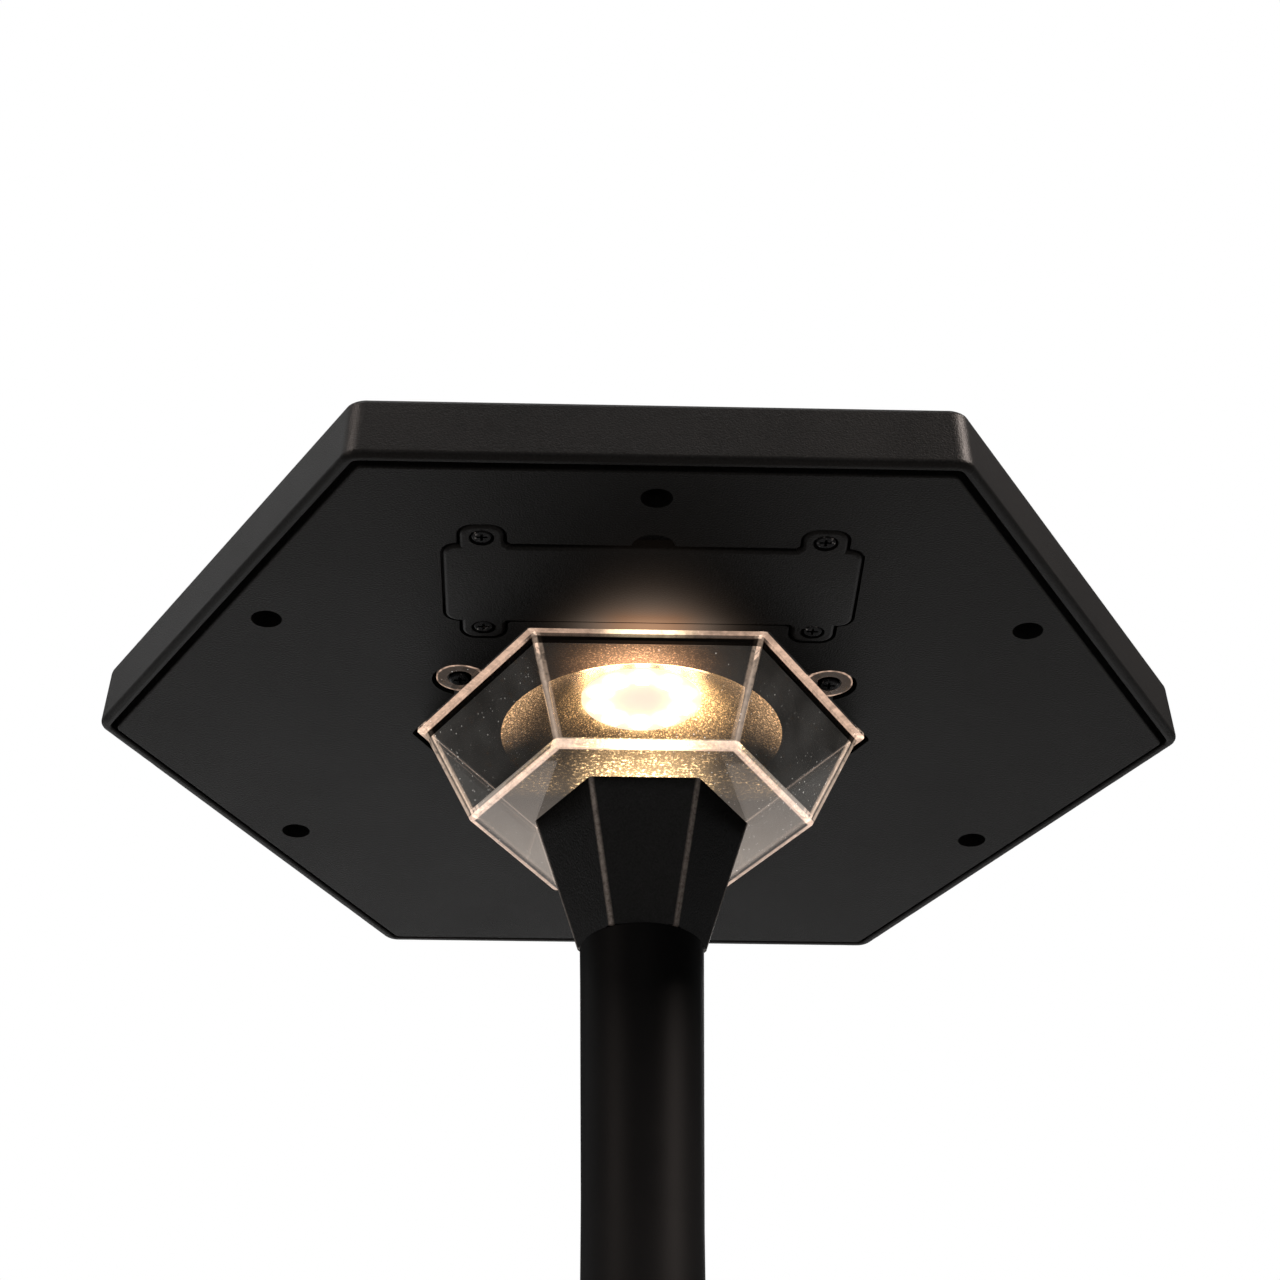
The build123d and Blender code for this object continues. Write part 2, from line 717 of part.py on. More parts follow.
# Lens: a tapering hexagonal cup with a flange and three screw ears
with BuildPart() as lens:
    with BuildSketch(Plane.XY.offset(lens_bottom)):
        RoundedHexagon(lens_foot, lens_corner)
    with BuildSketch(Plane.XY.offset(flange_top)):
        RoundedHexagon(lens_top, lens_corner)
    loft()
    fillet(lens.edges().group_by(Axis.Z)[0], radius=lens_edge_round)
    with BuildSketch(Plane.XY.offset(rim_bottom)):
        RoundedHexagon(lens_flange, lens_corner)
        LensEars(lens_ear_radius)
    extrude(amount=flange_thickness)
    with BuildSketch(Plane.XY.offset(floor_top)):
        RoundedHexagon(lens_foot + lens_slope * lens_floor - lens_wall_across, lens_edge_round)
    with BuildSketch(Plane.XY.offset(flange_top)):
        RoundedHexagon(lens_mouth, lens_edge_round)
    loft(mode=Mode.SUBTRACT)
    with BuildSketch(Plane.XY.offset(rim_bottom)):
        with Locations(*lens_screw_places):
            Circle(lens_screw["head"] + head_clearance)
    extrude(amount=lens_screw_sunk, mode=Mode.SUBTRACT)
    with BuildSketch(Plane.XY.offset(rim_bottom)):
        with Locations(*lens_screw_places):
            Circle(lens_screw["shank"] + shank_clearance)
    extrude(amount=flange_thickness, mode=Mode.SUBTRACT)
    with BuildSketch(Plane.XY.offset(lens_bottom)):
        with Locations(*neck_screw_places):
            Circle(neck_screw["shank"] + shank_clearance)
    extrude(amount=lens_floor, mode=Mode.SUBTRACT)

with BuildPart() as lens_screws:
    add(screws(lens_screw_places, lens_seat, lens_screw))

with BuildPart() as lens_seal:
    with BuildSketch(Plane.XY.offset(flange_top)):
        RoundedHexagon(lens_flange, lens_corner)
        RoundedHexagon(lens_flange - lens_seal_width, lens_corner, mode=Mode.SUBTRACT)
    extrude(amount=lens_seal_thickness)

# Neck: a faceted taper with a hollow core, on a spigot that stands in the pole's bush
plate_bottom = lens_bottom - neck_wall
core_bottom = pole_top + neck_foot_plate
neck_bevel = neck_wall * sqrt(1 + neck_slope**2)
neck_boss_radius = neck_screw["shank"] + boss_wall
neck_pilot_depth = neck_screw["length"] - lens_floor + pilot_spare

with BuildPart() as neck:
    with BuildSketch(Plane.XY.offset(pole_top)):
        RoundedHexagon(neck_foot, neck_corner)
    with BuildSketch(Plane.XY.offset(lens_bottom)):
        RoundedHexagon(neck_top, neck_corner)
    loft()
    with BuildSketch(Plane.XY.offset(core_bottom)):
        RoundedHexagon(neck_foot + neck_slope * neck_foot_plate - neck_bevel)
    with BuildSketch(Plane.XY.offset(plate_bottom)):
        RoundedHexagon(neck_top - neck_slope * neck_wall - neck_bevel)
    loft(mode=Mode.SUBTRACT)
    with BuildSketch(Plane.XY.offset(plate_bottom)):
        with Locations(*neck_screw_places):
            Circle(neck_boss_radius)
    extrude(amount=neck_wall - neck_pilot_depth - boss_roof)
    with BuildSketch(Plane.XY.offset(pole_top)):
        Circle(spigot_radius)
    extrude(amount=spigot_short - bush_length)
    chamfer(neck.edges().group_by(Axis.Z)[0], length=spigot_chamfer)
    with BuildSketch(Plane.XY.offset(core_bottom)):
        Circle(spigot_bore)
    extrude(amount=spigot_short - bush_length - neck_foot_plate, mode=Mode.SUBTRACT)
    with BuildSketch(Plane.XY.offset(lens_bottom)):
        with Locations(*neck_screw_places):
            Circle(neck_screw["shank"] + thread_clearance)
    extrude(amount=-neck_pilot_depth, mode=Mode.SUBTRACT)

with BuildPart() as neck_screws:
    add(screws(neck_screw_places, floor_top, neck_screw, -1))

# Bush that lines the top of the pole, and the pole itself, which widens a little towards the neck
with BuildPart() as pole_bush:
    with BuildSketch(Plane.XY.offset(pole_top)):
        Circle(bush_radius)
        Circle(bush_bore, mode=Mode.SUBTRACT)
    extrude(amount=-bush_length)

with BuildPart() as pole:
    with BuildSketch(Plane.XY.offset(pole_foot)):
        Circle(pole_radius)
    extrude(amount=pole_length - pole_flare)
    with BuildSketch(Plane.XY.offset(flare_foot)):
        Circle(pole_radius)
    with BuildSketch(Plane.XY.offset(pole_top)):
        Circle(pole_top_diameter / 2)
    loft()
    levels = pole.edges().group_by(Axis.Z)
    fillet(levels[0] + levels[-1], radius=pole_end_round)
    with BuildSketch(Plane.XY.offset(pole_foot)):
        Circle(pole_bore)
    extrude(amount=pole_length, mode=Mode.SUBTRACT)

# Spike: crossed blades that run to a point, a collar at the soil and a spigot for the pole
with BuildPart() as ground_stake:
    with BuildSketch(Plane.XY):
        Circle(pole_radius - collar_inset)
    extrude(amount=collar_height)
    with BuildSketch(Plane.XY.offset(pole_foot)):
        Circle(stake_spigot_radius)
    extrude(amount=stake_spigot_length)
    chamfer(ground_stake.edges().group_by(Axis.Z)[-1], length=spigot_chamfer)
    for blade_plane in (Plane.XZ, Plane.YZ):
        with BuildSketch(blade_plane):
            with BuildLine():
                Polyline(
                    (-blade_width / 2, 0),
                    (blade_width / 2, 0),
                    (blade_width / 2, -blade_shoulder),
                    (blade_tip / 2, -stake_depth),
                    (-blade_tip / 2, -stake_depth),
                    (-blade_width / 2, -blade_shoulder),
                    close=True,
                )
            make_face()
        extrude(amount=blade_thickness / 2, both=True)

# Wires, each pair ending in its own plug on the control board
half_pitch = wire_pitch / 2

with BuildPart() as solar_wires:
    for x in (plug_spread - half_pitch, plug_spread + half_pitch):
        drop = (x, panel_wire_offset, plug_middle)
        add(wire((x, panel_wire_offset, panel_floor), drop, (x, plug_face, plug_middle)))

with BuildPart() as led_wires:
    for x in (-half_pitch, half_pitch):
        run = [
            (x, led_wire_offset, led_seat),
            (x, led_wire_offset, rim_bottom + led_wire_height),
            (x, led_wire_drop, rim_bottom + led_wire_height),
            (x, led_wire_drop, plug_middle),
            (x, plug_face, plug_middle),
        ]
        add(wire(*run))

with BuildPart() as battery_wires:
    start = -battery_offset
    outer_lane = battery_wire_lane + half_pitch
    inner_lane = battery_wire_lane - half_pitch
    left_x = -plug_spread - half_pitch
    right_x = -plug_spread + half_pitch
    left_turn = battery_wire_turn + half_pitch
    right_turn = battery_wire_turn - half_pitch
    left_run = [
        (-bay_length / 2, start),
        (-outer_lane, start),
        (-outer_lane, left_turn),
        (left_x, left_turn),
        (left_x, plug_face),
    ]
    right_run = [
        (bay_length / 2, start),
        (outer_lane, start),
        (outer_lane, battery_wire_cross),
        (-inner_lane, battery_wire_cross),
        (-inner_lane, right_turn),
        (right_x, right_turn),
        (right_x, plug_face),
    ]
    for run in (left_run, right_run):
        add(wire(*[(x, y, plug_middle) for x, y in run]))

# Label and write every sub-part
pieces = {
    "top_housing": top_housing,
    "panel_glass": panel_glass,
    "solar_cells": solar_cells,
    "panel_board": panel_board,
    "bottom_cover": bottom_cover,
    "cover_seal": cover_seal,
    "cover_screws": cover_screws,
    "battery_cover": battery_cover,
    "battery_cover_screws": battery_cover_screws,
    "battery_seal": battery_seal,
    "battery_cell": battery_cell,
    "battery_contacts": battery_contacts,
    "control_board": control_board,
    "board_components": board_components,
    "board_screws": board_screws,
    "led_board": led_board,
    "leds": leds,
    "led_board_screws": led_board_screws,
    "lens": lens,
    "lens_seal": lens_seal,
    "lens_screws": lens_screws,
    "neck": neck,
    "neck_screws": neck_screws,
    "pole_bush": pole_bush,
    "pole": pole,
    "ground_stake": ground_stake,
    "solar_wires": solar_wires,
    "battery_wires": battery_wires,
    "led_wires": led_wires,
}

os.makedirs("parts", exist_ok=True)
for name, piece in pieces.items():
    piece.part.label = name
    export_step(piece.part, f"parts/{name}.step")
    print(name, len(piece.part.solids()), piece.part.is_valid, round(piece.part.volume))
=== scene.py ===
import math

import bpy
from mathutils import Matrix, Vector

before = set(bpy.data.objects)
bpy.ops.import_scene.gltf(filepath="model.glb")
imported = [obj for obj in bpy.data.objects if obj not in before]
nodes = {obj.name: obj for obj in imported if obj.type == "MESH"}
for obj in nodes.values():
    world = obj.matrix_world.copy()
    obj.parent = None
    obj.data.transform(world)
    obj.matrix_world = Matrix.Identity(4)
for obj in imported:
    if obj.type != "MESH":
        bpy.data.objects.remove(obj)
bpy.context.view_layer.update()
print("frame loaded:", len(nodes), "nodes")


# Helpers for materials. A value given to one of them is either a plain number or another node's output.
def newMaterial(name):
    material = bpy.data.materials.new(name)
    material.use_nodes = True
    tree = material.node_tree
    return material, tree, tree.nodes["Principled BSDF"]


def feed(tree, socket, value):
    if isinstance(value, bpy.types.NodeSocket):
        tree.links.new(value, socket)
    else:
        socket.default_value = value


def mathNode(tree, operation, first, second=0.0, third=0.0, clamp=False):
    node = tree.nodes.new("ShaderNodeMath")
    node.operation = operation
    node.use_clamp = clamp
    feed(tree, node.inputs[0], first)
    feed(tree, node.inputs[1], second)
    feed(tree, node.inputs[2], third)
    return node.outputs[0]


def times(tree, *masks):
    total = masks[0]
    for mask in masks[1:]:
        total = mathNode(tree, "MULTIPLY", total, mask)
    return total


def distance(tree, x, y):
    return mathNode(tree, "SQRT", mathNode(tree, "ADD", times(tree, x, x), times(tree, y, y)))


def within(tree, value, low, high):  # 1 where the value lies between the two limits
    return times(tree, mathNode(tree, "GREATER_THAN", value, low), mathNode(tree, "LESS_THAN", value, high))


def remap(tree, value, start, end, low=0.0, high=1.0, kind="LINEAR"):
    node = tree.nodes.new("ShaderNodeMapRange")
    node.interpolation_type = kind
    feed(tree, node.inputs["Value"], value)
    node.inputs["From Min"].default_value = start
    node.inputs["From Max"].default_value = end
    node.inputs["To Min"].default_value = low
    node.inputs["To Max"].default_value = high
    return node.outputs["Result"]


def blend(tree, factor, first, second):
    node = tree.nodes.new("ShaderNodeMix")
    node.data_type = "RGBA"
    feed(tree, node.inputs["Factor"], factor)
    for socket, color in ((node.inputs[6], first), (node.inputs[7], second)):
        feed(tree, socket, (*color, 1.0) if isinstance(color, tuple) and len(color) == 3 else color)
    return node.outputs[2]


def scaleColor(tree, color, amount):
    node = tree.nodes.new("ShaderNodeVectorMath")
    node.operation = "SCALE"
    feed(tree, node.inputs[0], color)
    feed(tree, node.inputs["Scale"], amount)
    return node.outputs["Vector"]


def addLight(tree, light, color, mask):  # a colour, as strong as its mask, on top of the light so far
    part = scaleColor(tree, color, mask)
    if light is None:
        return part
    joined = tree.nodes.new("ShaderNodeVectorMath")
    tree.links.new(light, joined.inputs[0])
    tree.links.new(part, joined.inputs[1])
    return joined.outputs["Vector"]


def millimetres(tree):  # object coordinates in millimetres: the vector, then x, y and z
    place = tree.nodes.new("ShaderNodeTexCoord")
    scaled = scaleColor(tree, place.outputs["Object"], 1000.0)
    split = tree.nodes.new("ShaderNodeSeparateXYZ")
    tree.links.new(scaled, split.inputs[0])
    return scaled, split.outputs[0], split.outputs[1], split.outputs[2]


def noise(tree, vector, scale, detail=2.0, roughness=0.5):
    node = tree.nodes.new("ShaderNodeTexNoise")
    tree.links.new(vector, node.inputs["Vector"])
    feed(tree, node.inputs["Scale"], scale)
    node.inputs["Detail"].default_value = detail
    node.inputs["Roughness"].default_value = roughness
    return node.outputs["Fac"]


def bumpNode(tree, height, depth):
    node = tree.nodes.new("ShaderNodeBump")
    node.inputs["Strength"].default_value = 1.0
    node.inputs["Distance"].default_value = depth
    tree.links.new(height, node.inputs["Height"])
    return node.outputs["Normal"]


def dress(names, material):
    for name in [names] if isinstance(names, str) else names:
        mesh = nodes[name].data
        mesh.materials.clear()
        mesh.materials.append(material)


def newGroup(name, inputs, outputs):
    group = bpy.data.node_groups.new(name, "ShaderNodeTree")
    kind = "NodeSocketFloat"
    for label, value in inputs.items():
        group.interface.new_socket(label, in_out="INPUT", socket_type=kind).default_value = value
    for label in outputs:
        group.interface.new_socket(label, in_out="OUTPUT", socket_type=kind)
    return group, group.nodes.new("NodeGroupInput"), group.nodes.new("NodeGroupOutput")


def placeGroup(tree, group, **values):
    node = tree.nodes.new("ShaderNodeGroup")
    node.node_tree = group
    for label, value in values.items():
        feed(tree, node.inputs[label], value)
    return node


# Mould texture: fine noise for the bump, broad faint noise for gloss, and rare bright specks
def makeGrain():
    inputs = {"Fine": 3.2, "Broad": 0.035}
    group, gin, gout = newGroup("mouldGrain", inputs, ["Height", "Mottle", "Specks"])
    vector = millimetres(group)[0]
    fine = noise(group, vector, gin.outputs["Fine"], 2.0, 0.6)
    broad = noise(group, vector, gin.outputs["Broad"], 4.0, 0.6)
    speck = group.nodes.new("ShaderNodeTexVoronoi")
    group.links.new(vector, speck.inputs["Vector"])
    group.links.new(gin.outputs["Fine"], speck.inputs["Scale"])
    group.links.new(fine, gout.inputs["Height"])
    group.links.new(broad, gout.inputs["Mottle"])
    group.links.new(remap(group, speck.outputs["Distance"], 0.08, 0.16, 1.0, 0.0), gout.inputs["Specks"])
    return group


# Loose dust: small soft dots scattered over broad patches, and a faint smear between them
def makeDust():
    group, gin, gout = newGroup("looseDust", {"Dots": 0.9, "Patches": 0.03}, ["Dots", "Smear"])
    vector = millimetres(group)[0]
    cells = group.nodes.new("ShaderNodeTexVoronoi")
    cells.inputs["Randomness"].default_value = 1.0
    group.links.new(vector, cells.inputs["Vector"])
    group.links.new(gin.outputs["Dots"], cells.inputs["Scale"])
    dot = remap(group, cells.outputs["Distance"], 0.08, 0.16, 1.0, 0.0)
    patch = remap(group, noise(group, vector, gin.outputs["Patches"], 3.0, 0.6), 0.45, 0.6)
    chosen = mathNode(group, "GREATER_THAN", noise(group, vector, 0.7, 1.0), 0.57)
    dots = mathNode(group, "MULTIPLY", mathNode(group, "MULTIPLY", dot, patch), chosen)
    group.links.new(dots, gout.inputs["Dots"])
    group.links.new(patch, gout.inputs["Smear"])
    return group


# Where a point lies on a hexagonal cup: how far out towards its flat, how far from the nearest upright
# corner, and how high above the cup's floor. The first is the largest of the three dot products with the
# flats' directions, and the second is the gap to the next largest, over the cosine of 30 degrees.
def makeHexPlace():
    group, gin, gout = newGroup("hexPlace", {"Base": 0.0}, ["Reach", "Corner", "Rise"])
    x, y, z = millimetres(group)[1:]
    sides = []
    for turn in (30, 90, 150):
        across = mathNode(group, "MULTIPLY", x, math.cos(math.radians(turn)))
        along = mathNode(group, "MULTIPLY", y, math.sin(math.radians(turn)))
        sides.append(mathNode(group, "ABSOLUTE", mathNode(group, "ADD", across, along)))
    first, second, third = sides
    largest = mathNode(group, "MAXIMUM", mathNode(group, "MAXIMUM", first, second), third)
    smallest = mathNode(group, "MINIMUM", mathNode(group, "MINIMUM", first, second), third)
    total = mathNode(group, "ADD", mathNode(group, "ADD", first, second), third)
    middle = mathNode(group, "SUBTRACT", mathNode(group, "SUBTRACT", total, largest), smallest)
    group.links.new(largest, gout.inputs["Reach"])
    gap = mathNode(group, "SUBTRACT", largest, middle)
    group.links.new(mathNode(group, "DIVIDE", gap, 0.866), gout.inputs["Corner"])
    group.links.new(mathNode(group, "SUBTRACT", z, gin.outputs["Base"]), gout.inputs["Rise"])
    return group


# Warm light thrown on the cover by the lens's near wall: a bell curve across, dying away along -y.
# The bell falls to 0.6065 at one spread from its middle, and the light to 0.3679 at one fade past the edge.
def makeSpill():
    inputs = {"Spread": 7.4, "Edge": -44.0, "Fade": 5.1, "Shift": 0.0}
    group, gin, gout = newGroup("ledSpill", inputs, ["Amount", "Core"])
    x, y = millimetres(group)[1:3]
    ratio = mathNode(group, "SUBTRACT", x, gin.outputs["Shift"])
    ratio = mathNode(group, "DIVIDE", ratio, gin.outputs["Spread"])
    bell = mathNode(group, "POWER", 0.6065, times(group, ratio, ratio))
    beyond = mathNode(group, "SUBTRACT", gin.outputs["Edge"], y)
    beyond = mathNode(group, "DIVIDE", beyond, gin.outputs["Fade"])
    fade = mathNode(group, "POWER", 0.3679, mathNode(group, "MAXIMUM", beyond, 0.0))
    group.links.new(times(group, bell, fade), gout.inputs["Amount"])
    core = remap(group, mathNode(group, "ABSOLUTE", ratio), 1.9, 0.6, 0.0, 1.0, "SMOOTHSTEP")
    group.links.new(times(group, core, remap(group, fade, 0.12, 0.5)), gout.inputs["Core"])
    return group


# Round blooms on a ring of ten, one at each LED
def makeBlooms():
    group, gin, gout = newGroup("ledBlooms", {"Ring": 9.3, "Soft": 4.4}, ["Bloom"])
    x, y = millimetres(group)[1:3]
    radius = distance(group, x, y)
    half = math.radians(18)
    turn = mathNode(group, "SUBTRACT", mathNode(group, "ARCTAN2", y, x), half)
    turn = mathNode(group, "WRAP", turn, half, -half)
    along = times(group, radius, mathNode(group, "COSINE", turn))
    along = mathNode(group, "SUBTRACT", along, gin.outputs["Ring"])
    across = times(group, radius, mathNode(group, "SINE", turn))
    away = mathNode(group, "DIVIDE", distance(group, along, across), gin.outputs["Soft"])
    group.links.new(remap(group, away, 1.0, 0.25, 0.0, 1.0, "SMOOTHSTEP"), gout.inputs["Bloom"])
    return group


grain = makeGrain()
dust = makeDust()
hexPlace = makeHexPlace()
spill = makeSpill()
blooms = makeBlooms()
print("shared effects ready")

# Black mouldings. Fine is the grain in dots per millimetre, bump its depth in metres.
mouldings = {
    "top_housing": {"color": 0.008, "rough": 0.42, "fine": 2.8, "bump": 0.00010, "specular": 0.27},
    "bottom_cover": {"color": 0.010, "rough": 0.44, "fine": 2.6, "bump": 0.00014, "specular": 0.16},
    "battery_cover": {"color": 0.010, "rough": 0.36, "fine": 2.6, "bump": 0.00009, "specular": 0.18},
    "neck": {"color": 0.011, "rough": 0.30, "fine": 2.4, "bump": 0.00009, "specular": 0.25},
    "ground_stake": {"color": 0.014, "rough": 0.50, "fine": 2.2, "bump": 0.00008, "specular": 0.35},
}

# The bowl round the LEDs. Mouth and board are radii and face a height, in millimetres; change is how much
# glossier it is than the outside, flake the depth of its coarse bump, and the rest is light thrown on it.
bowl = {
    "mouth": 29.6, "board": 13.0, "face": 438.55, "change": 0.2, "flake": 0.00012,
    "spark": 8.0, "between": 0.35, "haloPower": 4.6, "bloomSize": 5.4, "crescentDepth": 11.0, "arcDepth": 3.4,
    "arcEnd": 13.5, "glow": (1.9, 1.05, 0.40), "crescent": (0.70, 0.41, 0.20),
    "outline": (0.36, 0.19, 0.08), "arc": (2.4, 1.7, 0.9), "bloom": (1.9, 1.25, 0.55),
}

# Light on the flat parts beside the lens: on the lid, on the cover's rim, and on the island inside the lens
spillLook = {
    "fringe": (1.0, 0.72, 0.54), "core": (1.0, 0.55, 0.32), "gold": (1.0, 0.50, 0.24),
    "lid": 0.56, "rim": 0.46, "island": 0.46, "wallAt": -36.5,
}
# Painted highlight along the neck's upright edges: base height and band in millimetres, and its pale colour
neckEdgeHighlight = {"base": 388.0, "band": 0.9, "color": (0.40, 0.36, 0.33)}


def spillColor(tree, place):
    return blend(tree, place.outputs["Core"], spillLook["fringe"], spillLook["core"])


def lightBowl(tree, x, y, inBowl, paintedGlints):  # the near side is that towards -y
    radius = distance(tree, x, y)
    width = mathNode(tree, "ABSOLUTE", x)
    nearSide = remap(tree, y, 9.0, -8.0, 0.0, 1.0, "SMOOTHSTEP")

    halo = mathNode(tree, "POWER", remap(tree, radius, bowl["mouth"], bowl["board"]), bowl["haloPower"])
    halo = times(tree, halo, remap(tree, x, -12.0, 12.0, 0.32, 1.4))
    halo = times(tree, halo, remap(tree, y, -24.0, -9.0, 0.15, 1.0), remap(tree, y, 4.0, 15.0, 1.0, 0.5))
    light = addLight(tree, None, bowl["glow"], times(tree, inBowl, halo, paintedGlints))

    crescent = remap(tree, radius, bowl["mouth"] - bowl["crescentDepth"], bowl["mouth"])
    crescent = times(tree, crescent, remap(tree, width, 13.0, 24.0), nearSide, inBowl)
    light = addLight(tree, light, bowl["crescent"], times(tree, crescent, paintedGlints))

    outline = remap(tree, radius, bowl["mouth"] - 0.8, bowl["mouth"] - 0.3)
    light = addLight(tree, light, bowl["outline"], times(tree, outline, nearSide, inBowl))

    arcStart = bowl["mouth"] - bowl["arcDepth"]
    arc = remap(tree, radius, arcStart, arcStart + 1.0)
    arc = times(tree, arc, inBowl, remap(tree, width, bowl["arcEnd"], bowl["arcEnd"] - 2.0))
    light = addLight(tree, light, bowl["arc"], times(tree, arc, mathNode(tree, "LESS_THAN", y, 0.0)))

    bloom = placeGroup(tree, blooms, Soft=bowl["bloomSize"]).outputs["Bloom"]
    bloom = times(tree, bloom, inBowl, remap(tree, y, -4.0, 6.0, 0.1, 1.0))
    return addLight(tree, light, bowl["bloom"], bloom)


def lightCoverFace(tree, light, y, z, paintedGlints):  # outside and inside the lens's near wall
    face = mathNode(tree, "LESS_THAN", z, bowl["face"])
    rim = placeGroup(tree, spill)
    beyond = mathNode(tree, "LESS_THAN", y, spillLook["wallAt"])
    rimMask = times(tree, rim.outputs["Amount"], beyond, face, spillLook["rim"])
    light = addLight(tree, light, spillColor(tree, rim), rimMask)
    island = placeGroup(tree, spill, Spread=6.0, Edge=-60.0, Shift=-1.6).outputs["Amount"]
    island = times(tree, island, within(tree, y, spillLook["wallAt"], -20.0), face, spillLook["island"])
    island = times(tree, island, remap(tree, y, -36.0, -29.5, 0.6, 1.8))
    island = times(tree, island, mathNode(tree, "ADD", paintedGlints, 0.75))
    return addLight(tree, light, spillLook["gold"], island)


def makeMoulding(name, look):
    material, tree, shader = newMaterial("moulding_" + name)
    texture = placeGroup(tree, grain, Fine=look["fine"])
    mottle, height, specks = (texture.outputs[label] for label in ("Mottle", "Height", "Specks"))
    shade = remap(tree, mottle, 0.3, 0.7, look["color"] * 0.8, look["color"] * 1.2)
    shade = mathNode(tree, "MULTIPLY", shade, remap(tree, height, 0.3, 0.7, 0.6, 1.5))
    shade = mathNode(tree, "ADD", shade, mathNode(tree, "MULTIPLY", specks, look["color"] * 1.5))
    tint = tree.nodes.new("ShaderNodeCombineColor")
    for channel in ("Red", "Green", "Blue"):
        tree.links.new(shade, tint.inputs[channel])
    color = tint.outputs["Color"]
    rough = remap(tree, mottle, 0.3, 0.7, look["rough"] - 0.03, look["rough"] + 0.03)
    normal = bumpNode(tree, height, look["bump"])
    vector, x, y, z = millimetres(tree)
    light = None
    if name == "bottom_cover":  # the bowl round the LEDs is glossier than the outside, and coarser
        inBowl = within(tree, distance(tree, x, y), 0.0, bowl["mouth"])
        inBowl = times(tree, inBowl, mathNode(tree, "GREATER_THAN", z, bowl["face"]))
        rough = mathNode(tree, "SUBTRACT", rough, times(tree, inBowl, bowl["change"]))
        flakes = times(tree, noise(tree, vector, 2.0, 2.0, 0.7), inBowl)
        fine = normal
        normal = bumpNode(tree, flakes, bowl["flake"])
        tree.links.new(fine, normal.node.inputs["Normal"])
        # painted glints: bright spots that strengthen the painted LED light in the bowl and on the island
        sparks = remap(tree, noise(tree, vector, 2.8, 2.0, 0.7), 0.40, 0.75)
        sparks = mathNode(tree, "POWER", sparks, 3.0)
        paintedGlints = mathNode(tree, "MULTIPLY_ADD", sparks, bowl["spark"], bowl["between"])
        # painted LED light: halo, crescents, outline, arc and blooms in the bowl, and spill on the cover's
        # face
        light = lightBowl(tree, x, y, inBowl, paintedGlints)
        light = lightCoverFace(tree, light, y, z, paintedGlints)
    if name == "battery_cover":  # painted LED spill on the end of the lid that lies beside the lens
        lid = placeGroup(tree, spill)
        lidMask = times(tree, lid.outputs["Amount"], spillLook["lid"])
        light = addLight(tree, None, spillColor(tree, lid), lidMask)
    if light is not None:
        tree.links.new(light, shader.inputs["Emission Color"])
        shader.inputs["Emission Strength"].default_value = 1.0
    if name == "neck":  # painted highlight: upright edges made pale in the base colour
        corner = placeGroup(tree, hexPlace, Base=neckEdgeHighlight["base"]).outputs["Corner"]
        edgeHighlight = remap(tree, corner, neckEdgeHighlight["band"], neckEdgeHighlight["band"] * 0.4)
        patchy = remap(tree, noise(tree, vector, 1.2, 3.0, 0.7), 0.3, 0.6, 0.4, 1.0)
        edgeHighlight = mathNode(tree, "MULTIPLY", edgeHighlight, patchy)
        color = blend(tree, edgeHighlight, color, neckEdgeHighlight["color"])
    tree.links.new(color, shader.inputs["Base Color"])
    tree.links.new(rough, shader.inputs["Roughness"])
    tree.links.new(normal, shader.inputs["Normal"])
    shader.inputs["Specular IOR Level"].default_value = look["specular"]
    return material


for name, look in mouldings.items():
    dress(name, makeMoulding(name, look))
print("black mouldings dressed")

# The clear lens. Bands are millimetres from an edge, and heights are taken from its floor's underside.
# The glow colours are painted light on its cut and moulded edges. The first ear stands for two, at x and -x.
clearLens = {
    "base": 417.5, "foot": 31.2, "slope": 0.425, "wall": 2.2, "floor": (1.8, 2.7),
    "flange": 21.4, "flangeReach": 41.4, "flangeInset": 0.75, "lip": (20.6, 21.3), "wallShadow": (19.3, 20.75),
    "ears": [(38.19, -22.05), (0.0, 44.1)], "earRadius": 4.9,
    "cornerBand": 0.85, "sidePost": 2.0, "footHeight": 0.75, "nearFootHeight": 1.6,
    "color": (1.0, 0.985, 0.965), "ior": 1.49, "rough": 0.012, "tint": (1.0, 0.80, 0.68),
    "shadedTab": (0.20, 0.19, 0.18), "wallShadowColor": (0.002, 0.002, 0.002), "shade": (0.12, 0.11, 0.10),
    "post": (0.22, 0.16, 0.12), "footGlow": (0.76, 0.53, 0.41), "flangeGlow": (0.50, 0.33, 0.24),
    "hot": (2.5, 1.9, 1.2), "gold": (15.0, 9.6, 4.6),
    "hazeGlow": (0.021, 0.020, 0.0187), "floorHazeGlow": (0.11, 0.092, 0.078),
}


